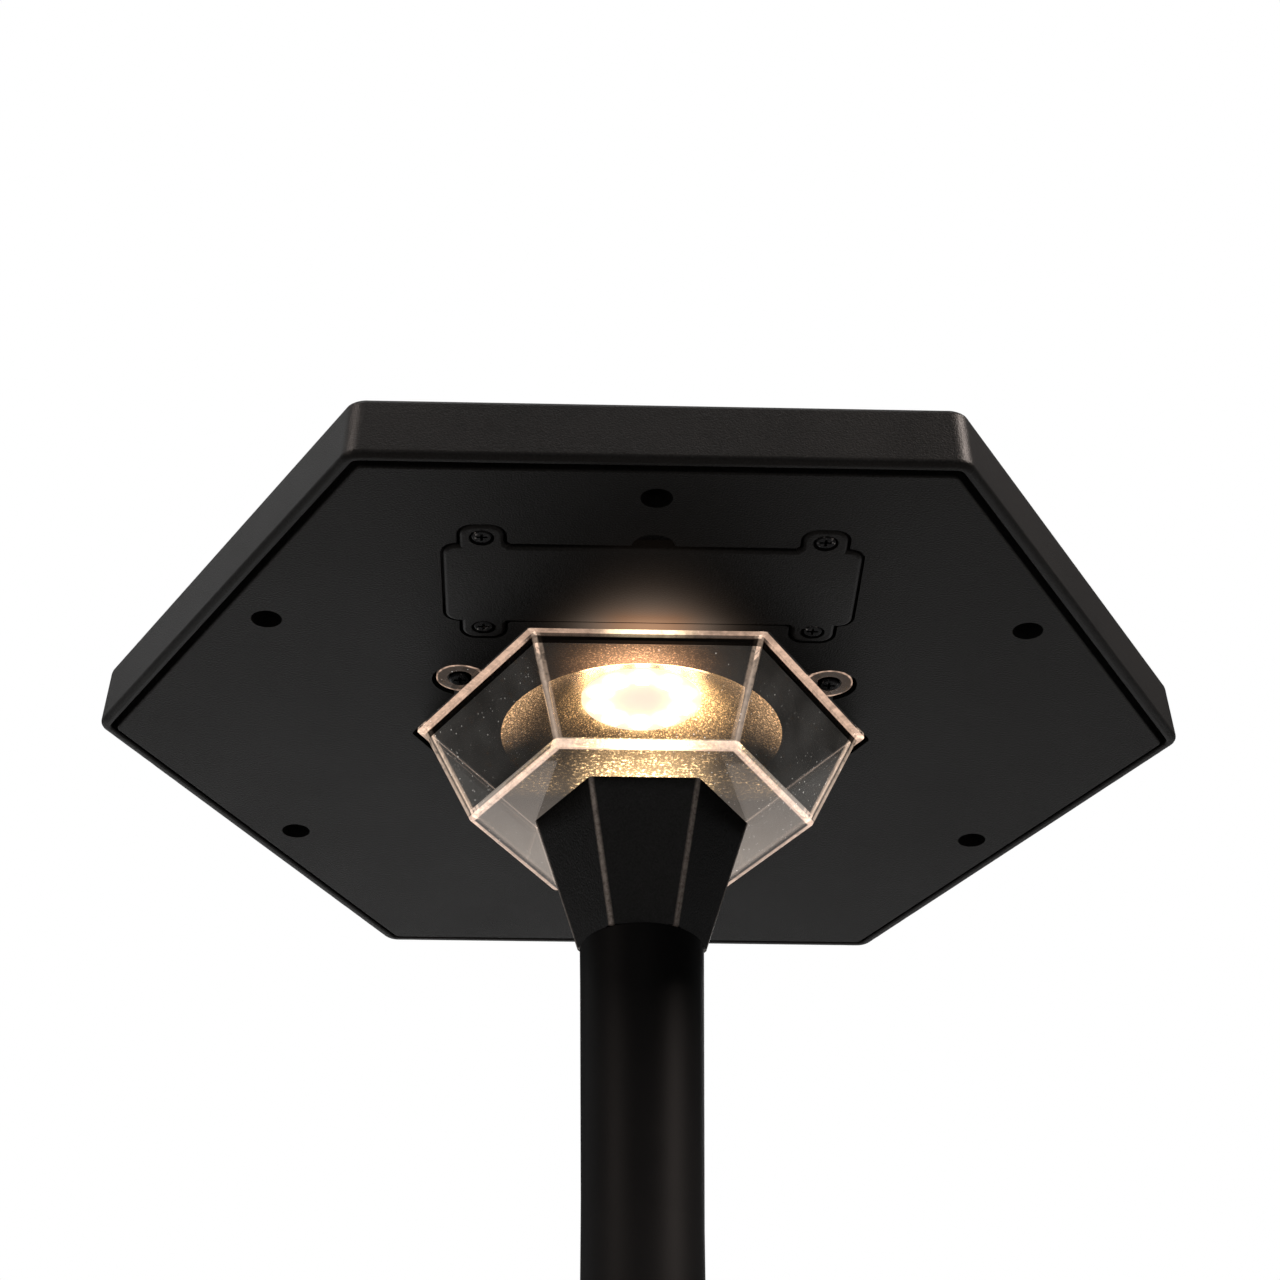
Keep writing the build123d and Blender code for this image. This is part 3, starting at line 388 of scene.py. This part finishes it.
def makeLens(look):
    material, tree, shader = newMaterial("clear_lens")
    shader.inputs["IOR"].default_value = look["ior"]
    shader.inputs["Transmission Weight"].default_value = 1.0
    shader.inputs["Specular Tint"].default_value = (*look["tint"], 1)
    place = placeGroup(tree, hexPlace, Base=look["base"])
    reach, corner, rise = (place.outputs[label] for label in ("Reach", "Corner", "Rise"))
    vector, x, y = millimetres(tree)[:3]
    width = mathNode(tree, "ABSOLUTE", x)
    streaks = remap(tree, noise(tree, vector, 0.6, 3.0, 0.7), 0.3, 0.7, 0.6, 1.25)

    outer = mathNode(tree, "MULTIPLY_ADD", rise, look["slope"], look["foot"])
    depth = mathNode(tree, "SUBTRACT", outer, reach)  # below the wall's outer face at this height
    near = remap(tree, y, -29.5, -31.0)
    centre = remap(tree, width, 13.5, 3.5, 0.0, 1.0, "SMOOTHSTEP")
    hot = times(tree, centre, centre, remap(tree, y, -24.0, -27.0))

    # painted glow along the upright edges between the facets, with gaps in it
    broader = remap(tree, width, look["foot"], look["foot"] + 2.0, 1.0, 1.8)
    band = mathNode(tree, "DIVIDE", corner, broader)
    corners = remap(tree, band, look["cornerBand"], look["cornerBand"] * 0.6)
    inWall = remap(tree, depth, look["wall"], look["wall"] + 0.3, 1.0, 0.0)
    fade = remap(tree, y, 10.0, 30.0, 1.0, 0.35)
    gaps = remap(tree, noise(tree, vector, 0.8, 1.0, 0.5), 0.35, 0.5, 0.75, 0.0)
    wearAndGlowGaps = mathNode(tree, "SUBTRACT", 1.0, times(tree, gaps, remap(tree, rise, 6.0, 18.0)))
    side = remap(tree, width, look["foot"], look["foot"] + 2.0, 1.0, look["sidePost"])
    corners = times(tree, corners, inWall, remap(tree, rise, 0.6, 1.0), fade, streaks, wearAndGlowGaps, side)
    glow = addLight(tree, None, look["post"], corners)

    # painted glow along the lower edge
    footTop = remap(tree, near, 0.0, 1.0, look["footHeight"], look["nearFootHeight"])
    foot = times(tree, mathNode(tree, "SUBTRACT", footTop, rise), 5.0)
    foot = mathNode(tree, "MULTIPLY", foot, 1.0, clamp=True)
    foot = times(tree, foot, remap(tree, depth, 1.1, 0.8), streaks, remap(tree, y, 0.0, 6.0, 1.0, 0.7))
    glow = addLight(tree, glow, blend(tree, hot, look["footGlow"], look["hot"]), foot)

    # painted glow on the flange and its lip, with bright rims round the screw ears
    under = mathNode(tree, "SUBTRACT", rise, look["flange"])
    under = remap(tree, mathNode(tree, "ABSOLUTE", under), 0.25, 0.1)
    outside = remap(tree, depth, look["flangeInset"] + 0.2, look["flangeInset"])
    onFlange = remap(tree, reach, look["flangeReach"] + 0.1, look["flangeReach"] + 0.3, 1.0, 0.04)
    flange = times(tree, under, outside, onFlange, remap(tree, y, -1.0, 5.0, 1.0, 0.3))
    patchy = remap(tree, noise(tree, vector, 0.35, 2.0, 0.6), 0.4, 0.6, 0.15, 0.9)
    for placeX, placeY in look["ears"]:
        fromX = mathNode(tree, "SUBTRACT", width, placeX)
        fromY = mathNode(tree, "SUBTRACT", y, placeY)
        fromRim = mathNode(tree, "SUBTRACT", distance(tree, fromX, fromY), look["earRadius"])
        fromRim = mathNode(tree, "ABSOLUTE", fromRim)
        earRim = times(tree, remap(tree, fromRim, 0.4, 0.15), under, patchy)
        flange = mathNode(tree, "MAXIMUM", flange, earRim)
    lip = times(tree, within(tree, rise, *look["lip"]), within(tree, depth, -0.2, 0.4))
    lip = times(tree, lip, remap(tree, y, -1.0, 5.0, 0.8, 0.0), remap(tree, y, -38.5, -36.5, 0.15, 1.0))
    flange = mathNode(tree, "MAXIMUM", flange, lip)
    flange = times(tree, flange, streaks, remap(tree, y, -39.0, -36.5, 0.95, 1.45))
    glow = addLight(tree, glow, blend(tree, hot, look["flangeGlow"], look["hot"]), flange)

    # painted shadow: a dark band where the wall turns into the flange; and dim ears
    wallShadow = times(tree, within(tree, rise, *look["wallShadow"]), within(tree, depth, -0.2, 1.2))
    # painted shade: the clear screw ears are tinted dark
    shadedTab = mathNode(tree, "GREATER_THAN", reach, look["flangeReach"] + 0.2)
    clear = blend(tree, shadedTab, look["color"], look["shadedTab"])
    tree.links.new(blend(tree, wallShadow, clear, look["wallShadowColor"]), shader.inputs["Base Color"])

    # gold light caught by the near part of the floor
    flecks = remap(tree, noise(tree, vector, 1.3, 3.0, 0.8), 0.40, 0.68)
    flecks = mathNode(tree, "POWER", flecks, 4.0)
    clusters = remap(tree, noise(tree, vector, 0.2, 3.0, 0.6), 0.40, 0.60, 0.3, 2.2)
    flecks = times(tree, flecks, clusters)
    onFloor = times(tree, within(tree, rise, *look["floor"]), remap(tree, depth, 2.0, 2.4))
    caught = remap(tree, width, 16.5, 2.5, 0.04, 1.0, "SMOOTHSTEP")
    caught = times(tree, caught, onFloor, remap(tree, y, -28.0, -16.0, 0.25, 1.0))
    caught = times(tree, caught, remap(tree, y, -8.0, -13.0), mathNode(tree, "ADD", flecks, 0.07))
    glow = addLight(tree, glow, look["gold"], caught)

    # painted glow: dust and a thin haze given off as light, stronger over the floor
    loose = placeGroup(tree, dust)
    hazeGlow = mathNode(tree, "MULTIPLY_ADD", loose.outputs["Smear"], 0.5, 0.3)
    hazeGlow = mathNode(tree, "MULTIPLY_ADD", loose.outputs["Dots"], 44.0, hazeGlow)
    hazeGlow = times(tree, hazeGlow, mathNode(tree, "SUBTRACT", 1.0, wallShadow))
    glow = addLight(tree, glow, look["hazeGlow"], hazeGlow)
    floorMask = times(tree, onFloor, remap(tree, y, -24.0, 16.0, 0.1, 1.6))
    glow = addLight(tree, glow, look["floorHazeGlow"], floorMask)
    tree.links.new(glow, shader.inputs["Emission Color"])
    shader.inputs["Emission Strength"].default_value = 1.0
    smear = remap(tree, loose.outputs["Smear"], 0.0, 1.0, look["rough"], look["rough"] + 0.03)
    tree.links.new(smear, shader.inputs["Roughness"])

    # lamps and soft light pass straight through, much dimmed, so the LEDs hardly light what is outside
    path = tree.nodes.new("ShaderNodeLightPath")
    through = tree.nodes.new("ShaderNodeBsdfTransparent")
    through.inputs["Color"].default_value = (*look["shade"], 1)
    outsideIn = mathNode(tree, "LESS_THAN", path.outputs["Transmission Depth"], 0.5)
    mirrored = times(tree, path.outputs["Is Glossy Ray"], outsideIn)
    easy = mathNode(tree, "MAXIMUM", path.outputs["Is Shadow Ray"], path.outputs["Is Diffuse Ray"])
    easy = mathNode(tree, "MAXIMUM", easy, mirrored)
    mix = tree.nodes.new("ShaderNodeMixShader")
    tree.links.new(easy, mix.inputs["Fac"])
    tree.links.new(shader.outputs["BSDF"], mix.inputs[1])
    tree.links.new(through.outputs["BSDF"], mix.inputs[2])
    tree.links.new(mix.outputs["Shader"], tree.nodes["Material Output"].inputs["Surface"])
    return material


dress("lens", makeLens(clearLens))
print("lens dressed")

# LEDs: warm phosphor, a little uneven
ledLook = {
    "phosphor": (0.95, 0.7, 0.3), "deep": (0.9, 0.45, 0.16), "color": (1.0, 0.54, 0.24), "strength": 45.0,
}
ledMaterial, ledTree, ledShader = newMaterial("led_lit")
ledShader.inputs["Base Color"].default_value = (*ledLook["phosphor"], 1)
ledGlow = remap(ledTree, noise(ledTree, millimetres(ledTree)[0], 1.2), 0.3, 0.7)
ledGlow = blend(ledTree, ledGlow, ledLook["deep"], ledLook["color"])
ledTree.links.new(ledGlow, ledShader.inputs["Emission Color"])
ledShader.inputs["Emission Strength"].default_value = ledLook["strength"]
dress("leds", ledMaterial)

# Plain finishes: colour, roughness, metal, size of the mottle in dots per millimetre, and bump
seal = {"color": (0.02, 0.02, 0.02), "rough": 0.75, "metal": 0.0, "mottle": 0.3, "bump": 0.00005}
finishes = {
    "led_board": {
        "color": (0.60, 0.58, 0.54), "rough": 0.35, "metal": 0.0, "mottle": 0.2, "bump": 0.00001,
    },
    "panel_board": {
        "color": (0.012, 0.014, 0.022), "rough": 0.5, "metal": 0.0, "mottle": 0.1, "bump": 0.00002,
    },
    "pole_bush": {
        "color": (0.12, 0.12, 0.12), "rough": 0.5, "metal": 0.0, "mottle": 0.1, "bump": 0.00003,
    },
    "cover_seal": seal,
    "battery_seal": seal,
    "lens_seal": seal,
    "battery_contacts": {
        "color": (0.70, 0.66, 0.58), "rough": 0.28, "metal": 1.0, "mottle": 0.5, "bump": 0.00001,
    },
    "pole": {
        "color": (0.006, 0.006, 0.0065), "rough": 0.48, "metal": 0.0, "mottle": 0.05, "bump": 0.00001,
        "specular": 0.15,
    },
}


def makeFinish(name, look):
    material, tree, shader = newMaterial("finish_" + name)
    texture = placeGroup(tree, grain, Broad=look["mottle"])
    low = tuple(channel * 0.85 for channel in look["color"])
    high = tuple(min(1.0, channel * 1.12) for channel in look["color"])
    tone = remap(tree, texture.outputs["Mottle"], 0.3, 0.7)
    tree.links.new(blend(tree, tone, low, high), shader.inputs["Base Color"])
    rough = remap(tree, texture.outputs["Mottle"], 0.3, 0.7, look["rough"] - 0.04, look["rough"] + 0.04)
    tree.links.new(rough, shader.inputs["Roughness"])
    shader.inputs["Metallic"].default_value = look["metal"]
    tree.links.new(bumpNode(tree, texture.outputs["Height"], look["bump"]), shader.inputs["Normal"])
    if "specular" in look:
        shader.inputs["Specular IOR Level"].default_value = look["specular"]
    return material


for name, look in finishes.items():
    dress(name, makeFinish(name, look))

# The LED board glows cream in its middle and white round the ring of LEDs
ledBoardLook = {
    "ring": 9.3, "halfWidth": 4.4, "bloomSize": 3.7,
    "cream": (0.90, 0.80, 0.68), "white": (1.1, 0.95, 0.70), "bloom": (1.6, 1.4, 1.0),
}


def lightLedBoard(look):
    tree = nodes["led_board"].data.materials[0].node_tree
    x, y = millimetres(tree)[1:3]
    fromRing = mathNode(tree, "SUBTRACT", distance(tree, x, y), look["ring"])
    fromRing = mathNode(tree, "ABSOLUTE", fromRing)
    ring = remap(tree, fromRing, look["halfWidth"], 1.0, 0.0, 1.0, "SMOOTHSTEP")
    light = blend(tree, ring, look["cream"], look["white"])
    bloom = placeGroup(tree, blooms, Soft=look["bloomSize"]).outputs["Bloom"]
    light = addLight(tree, light, look["bloom"], bloom)
    shader = tree.nodes["Principled BSDF"]
    tree.links.new(light, shader.inputs["Emission Color"])
    shader.inputs["Emission Strength"].default_value = 1.0


lightLedBoard(ledBoardLook)

# Screws: blackened steel rubbed bright in patches
screwLook = {"dark": (0.012, 0.012, 0.013), "wearAndGlowGaps": (0.32, 0.30, 0.29), "rough": 0.24}


def makeScrews(look):
    material, tree, shader = newMaterial("blackened_screw")
    texture = placeGroup(tree, grain, Fine=5.0, Broad=0.9)
    wearAndGlowGaps = remap(tree, texture.outputs["Mottle"], 0.60, 0.68)
    tree.links.new(blend(tree, wearAndGlowGaps, look["dark"], look["wearAndGlowGaps"]), shader.inputs["Base Color"])
    shader.inputs["Metallic"].default_value = 1.0
    rough = remap(tree, texture.outputs["Height"], 0.3, 0.7, look["rough"] - 0.06, look["rough"] + 0.06)
    tree.links.new(rough, shader.inputs["Roughness"])
    tree.links.new(bumpNode(tree, texture.outputs["Height"], 0.00002), shader.inputs["Normal"])
    return material


screwNodes = [name for name in nodes if name.endswith("_screws")]
dress(screwNodes, makeScrews(screwLook))

# Solar cells: dark blue silicon crossed by fine silver fingers, with a broader bar along each strip
cellLook = {
    "pitch": 17.25, "barWidth": 0.7, "fingerPitch": 1.9, "fingerWidth": 0.09,
    "blue": (0.006, 0.012, 0.045), "silver": (0.55, 0.56, 0.58),
}


def makeCells(look):
    material, tree, shader = newMaterial("solar_cell")
    vector, x, y = millimetres(tree)[:3]
    strip = mathNode(tree, "WRAP", x, look["pitch"] / 2, -look["pitch"] / 2)
    fromBar = mathNode(tree, "ABSOLUTE", strip)
    bar = mathNode(tree, "LESS_THAN", fromBar, look["barWidth"] / 2)
    step = mathNode(tree, "WRAP", y, look["fingerPitch"] / 2, -look["fingerPitch"] / 2)
    finger = mathNode(tree, "LESS_THAN", mathNode(tree, "ABSOLUTE", step), look["fingerWidth"] / 2)
    silver = mathNode(tree, "MAXIMUM", bar, finger)
    tone = remap(tree, noise(tree, vector, 0.12, 3.0), 0.3, 0.7)
    blue = blend(tree, tone, look["blue"], tuple(channel * 2.2 for channel in look["blue"]))
    tree.links.new(blend(tree, silver, blue, look["silver"]), shader.inputs["Base Color"])
    tree.links.new(remap(tree, silver, 0.0, 1.0, 0.2, 0.35), shader.inputs["Roughness"])
    tree.links.new(mathNode(tree, "MULTIPLY", silver, 0.9), shader.inputs["Metallic"])
    return material


dress("solar_cells", makeCells(cellLook))

# Panel glass: lets shadow rays through, so the cells under it are lit
paneGlass, paneTree, paneShader = newMaterial("panel_glass")
paneShader.inputs["Base Color"].default_value = (0.93, 0.96, 1.0, 1)
paneShader.inputs["Transmission Weight"].default_value = 1.0
paneShader.inputs["IOR"].default_value = 1.5
paneDust = placeGroup(paneTree, dust, Dots=0.5, Patches=0.02)
paneRough = remap(paneTree, paneDust.outputs["Smear"], 0.0, 1.0, 0.03, 0.07)
paneTree.links.new(paneRough, paneShader.inputs["Roughness"])
panePath = paneTree.nodes.new("ShaderNodeLightPath")
paneThrough = paneTree.nodes.new("ShaderNodeBsdfTransparent")
paneMix = paneTree.nodes.new("ShaderNodeMixShader")
paneTree.links.new(panePath.outputs["Is Shadow Ray"], paneMix.inputs["Fac"])
paneTree.links.new(paneShader.outputs["BSDF"], paneMix.inputs[1])
paneTree.links.new(paneThrough.outputs["BSDF"], paneMix.inputs[2])
paneTree.links.new(paneMix.outputs["Shader"], paneTree.nodes["Material Output"].inputs["Surface"])
dress("panel_glass", paneGlass)

# Battery cell: a coloured sleeve with a pale band, bare metal at both ends
cellSleeve = {
    "sleeveEnd": 31.2, "bandEnds": (12.0, 20.0), "color": (0.02, 0.10, 0.32), "band": (0.75, 0.76, 0.78),
    "metal": (0.72, 0.7, 0.66),
}


def makeSleeve(look):
    material, tree, shader = newMaterial("cell_sleeve")
    x = millimetres(tree)[1]
    metal = mathNode(tree, "GREATER_THAN", mathNode(tree, "ABSOLUTE", x), look["sleeveEnd"])
    band = within(tree, x, *look["bandEnds"])
    color = blend(tree, band, look["color"], look["band"])
    tree.links.new(blend(tree, metal, color, look["metal"]), shader.inputs["Base Color"])
    tree.links.new(metal, shader.inputs["Metallic"])
    shader.inputs["Roughness"].default_value = 0.3
    return material


dress("battery_cell", makeSleeve(cellSleeve))

# Control board: green lacquer over copper tracks, with bright solder dots
boardLook = {"lacquer": (0.012, 0.11, 0.04), "track": (0.02, 0.2, 0.07), "solder": (0.6, 0.6, 0.6)}


def makeBoard(look):
    material, tree, shader = newMaterial("circuit_board")
    vector = millimetres(tree)[0]
    runs = tree.nodes.new("ShaderNodeTexBrick")
    tree.links.new(vector, runs.inputs["Vector"])
    runs.inputs["Scale"].default_value = 0.28
    runs.inputs["Mortar Size"].default_value = 0.06
    track = runs.outputs["Fac"]
    dots = tree.nodes.new("ShaderNodeTexVoronoi")
    tree.links.new(vector, dots.inputs["Vector"])
    dots.inputs["Scale"].default_value = 0.25
    solder = mathNode(tree, "LESS_THAN", dots.outputs["Distance"], 0.16)
    green = blend(tree, track, look["lacquer"], look["track"])
    tree.links.new(blend(tree, solder, green, look["solder"]), shader.inputs["Base Color"])
    tree.links.new(mathNode(tree, "MULTIPLY", solder, 0.9), shader.inputs["Metallic"])
    shader.inputs["Roughness"].default_value = 0.32
    return material


dress("control_board", makeBoard(boardLook))

# Board parts by where they stand: cream plugs in front, then a dark choke, capacitor and chip
partLook = {"plugBack": 60.2, "plug": (0.72, 0.69, 0.6), "body": (0.03, 0.03, 0.034)}


def makeParts(look):
    material, tree, shader = newMaterial("board_part")
    vector, x, y = millimetres(tree)[:3]
    plug = mathNode(tree, "LESS_THAN", y, look["plugBack"])
    tree.links.new(blend(tree, plug, look["body"], look["plug"]), shader.inputs["Base Color"])
    tree.links.new(remap(tree, noise(tree, vector, 0.8), 0.3, 0.7, 0.32, 0.45), shader.inputs["Roughness"])
    return material


dress("board_components", makeParts(partLook))

# Wires: one of each pair is red and the other black, told apart by the line between them, at this x
wirePairs = {"solar_wires": 14.0, "led_wires": 0.0, "battery_wires": -14.0}
wireColors = {"black": (0.015, 0.015, 0.015), "red": (0.42, 0.015, 0.012)}


def makeWire(name, middle):
    material, tree, shader = newMaterial("insulation_" + name)
    vector, x = millimetres(tree)[:2]
    isRed = mathNode(tree, "GREATER_THAN", x, middle)
    color = blend(tree, isRed, wireColors["black"], wireColors["red"])
    tree.links.new(color, shader.inputs["Base Color"])
    tree.links.new(remap(tree, noise(tree, vector, 0.5), 0.3, 0.7, 0.35, 0.45), shader.inputs["Roughness"])
    return material


for name, middle in wirePairs.items():
    dress(name, makeWire(name, middle))
print("all nodes dressed")

# Floor: seen pale, but giving little light back to the lamp
floorLook = {
    "height": -0.151, "reach": 12.0, "color": (0.40, 0.40, 0.395), "giveBack": 0.55,
    "lift": 0.5, "farLift": 0.97, "liftFrom": 500.0, "liftTo": 3000.0,
}


def makeFloor(look):  # one flat square
    reach = look["reach"]
    corners = [(-reach, -reach), (reach, -reach), (reach, reach), (-reach, reach)]
    mesh = bpy.data.meshes.new("floor")
    mesh.from_pydata([(x, y, look["height"]) for x, y in corners], [], [(0, 1, 2, 3)])
    floor = bpy.data.objects.new("floor", mesh)
    bpy.context.scene.collection.objects.link(floor)
    material, tree, shader = newMaterial("pale_floor")
    path = tree.nodes.new("ShaderNodeLightPath")
    seen = path.outputs["Is Camera Ray"]
    dim = tuple(channel * look["giveBack"] for channel in look["color"])
    tree.links.new(blend(tree, seen, dim, look["color"]), shader.inputs["Base Color"])
    shader.inputs["Emission Color"].default_value = (1, 1, 1, 1)
    away = distance(tree, *millimetres(tree)[1:3])  # it brightens with distance, so no horizon shows
    lift = remap(tree, away, look["liftFrom"], look["liftTo"], look["lift"], look["farLift"], "SMOOTHSTEP")
    tree.links.new(times(tree, seen, lift), shader.inputs["Emission Strength"])
    shader.inputs["Roughness"].default_value = 0.8
    side = tree.nodes.new("ShaderNodeNewGeometry")  # from below, the camera looks straight through it
    clear = tree.nodes.new("ShaderNodeBsdfTransparent")
    mix = tree.nodes.new("ShaderNodeMixShader")
    tree.links.new(times(tree, seen, side.outputs["Backfacing"]), mix.inputs["Fac"])
    tree.links.new(shader.outputs["BSDF"], mix.inputs[1])
    tree.links.new(clear.outputs["BSDF"], mix.inputs[2])
    tree.links.new(mix.outputs["Shader"], tree.nodes["Material Output"].inputs["Surface"])
    mesh.materials.append(material)


makeFloor(floorLook)

# Room: white where the camera sees it; its light is a dim dome that is darker towards the horizon
roomLook = {"backdrop": 1.0, "horizon": 0.015, "dome": 0.065}
world = bpy.data.worlds.new("studio")
bpy.context.scene.world = world
world.use_nodes = True
worldTree = world.node_tree
worldTree.nodes.clear()
direction = worldTree.nodes.new("ShaderNodeTexCoord")
upward = worldTree.nodes.new("ShaderNodeSeparateXYZ")
worldTree.links.new(direction.outputs["Generated"], upward.inputs[0])
dome = remap(worldTree, upward.outputs[2], 0.1, 0.55, roomLook["horizon"], roomLook["dome"], "SMOOTHSTEP")
worldPath = worldTree.nodes.new("ShaderNodeLightPath")
backdrop = mathNode(worldTree, "MULTIPLY", worldPath.outputs["Is Camera Ray"], roomLook["backdrop"])
background = worldTree.nodes.new("ShaderNodeBackground")
background.inputs["Color"].default_value = (1, 1, 1, 1)
worldTree.links.new(mathNode(worldTree, "MAXIMUM", dome, backdrop), background.inputs["Strength"])
worldOut = worldTree.nodes.new("ShaderNodeOutputWorld")
worldTree.links.new(background.outputs["Background"], worldOut.inputs["Surface"])

# Softboxes: places in metres, sizes across and up, radiance of the face
softboxes = {
    "backLeft": {"at": (-0.6, 0.75, 0.22), "aim": (-0.6, 0.0, 0.22), "size": (1.2, 0.5), "radiance": 0.78},
    "backRight": {"at": (0.6, 0.75, 0.22), "aim": (0.6, 0.0, 0.22), "size": (1.2, 0.5), "radiance": 0.52},
    "sideLeft": {"at": (-1.5, 0.65, 1.75), "aim": (0.0, 0.0, 0.44), "size": (1.2, 1.0), "radiance": 0.7},
    "sideRight": {"at": (1.5, 0.65, 1.75), "aim": (0.0, 0.0, 0.44), "size": (1.0, 0.8), "radiance": 0.1},
    "rearLeft": {"at": (-1.45, 0.85, 0.6), "aim": (0.0, 0.0, 0.42), "size": (0.5, 0.5), "radiance": 0.45},
    "rearKey": {"at": (0.25, 1.7, 1.5), "aim": (0.0, 0.0, 0.4), "size": (1.2, 0.9), "radiance": 2.0},
    "rearRight": {"at": (1.45, 0.85, 0.6), "aim": (0.0, 0.0, 0.42), "size": (0.5, 0.5), "radiance": 0.2},
    "highLeft": {"at": (-1.0, -0.75, 1.55), "aim": (0.0, 0.0, 0.44), "size": (0.22, 0.5), "radiance": 26.0},
    "highRight": {"at": (1.15, -0.5, 1.55), "aim": (0.0, 0.0, 0.44), "size": (0.25, 0.5), "radiance": 66.0},
    "lowLeft": {"at": (-1.3, -0.92, 0.5), "aim": (0.0, 0.0, 0.4), "size": (0.16, 0.3), "radiance": 20.0},
    "front": {"at": (0.0, -1.6, 0.55), "aim": (0.0, 0.0, 0.42), "size": (0.5, 0.4), "radiance": 1.0},
    "overhead": {"at": (-0.2, -0.3, 2.1), "aim": (0.0, 0.0, 0.44), "size": (1.0, 1.0), "radiance": 1.8},
}
warmWhite = (1.0, 0.86, 0.78)
warmLamps = ("highLeft", "highRight", "lowLeft")


def makeSoftbox(name, look):
    lamp = bpy.data.lights.new(name, "AREA")
    lamp.shape = "RECTANGLE"
    lamp.size, lamp.size_y = look["size"]
    lamp.color = warmWhite if name in warmLamps else (1.0, 1.0, 1.0)
    lamp.energy = look["radiance"] * math.pi * lamp.size * lamp.size_y
    holder = bpy.data.objects.new(name, lamp)
    holder.location = look["at"]
    facing = Vector(look["aim"]) - Vector(look["at"])
    holder.rotation_euler = facing.to_track_quat("-Z", "Y").to_euler()
    holder.visible_camera = False
    holder.visible_transmission = False
    bpy.context.scene.collection.objects.link(holder)


for name, look in softboxes.items():
    makeSoftbox(name, look)

# Camera of the photo: place in metres, turn in radians, lens, sensor and nearest distance
viewpoint = {
    "at": (-0.018405, -0.537489, 0.121911), "turn": (2.13578338, 0.00210830, -0.03246062),
    "lens": 82.2578, "sensor": 36.0, "nearest": 0.01,
}
cameraData = bpy.data.cameras.new("viewpoint")
cameraData.lens = viewpoint["lens"]
cameraData.sensor_width = viewpoint["sensor"]
cameraData.clip_start = viewpoint["nearest"]
camera = bpy.data.objects.new("viewpoint", cameraData)
camera.location = viewpoint["at"]
camera.rotation_euler = viewpoint["turn"]
bpy.context.scene.collection.objects.link(camera)
bpy.context.scene.camera = camera
bpy.context.scene.view_settings.view_transform = "Standard"
print("floor, lights and camera set")
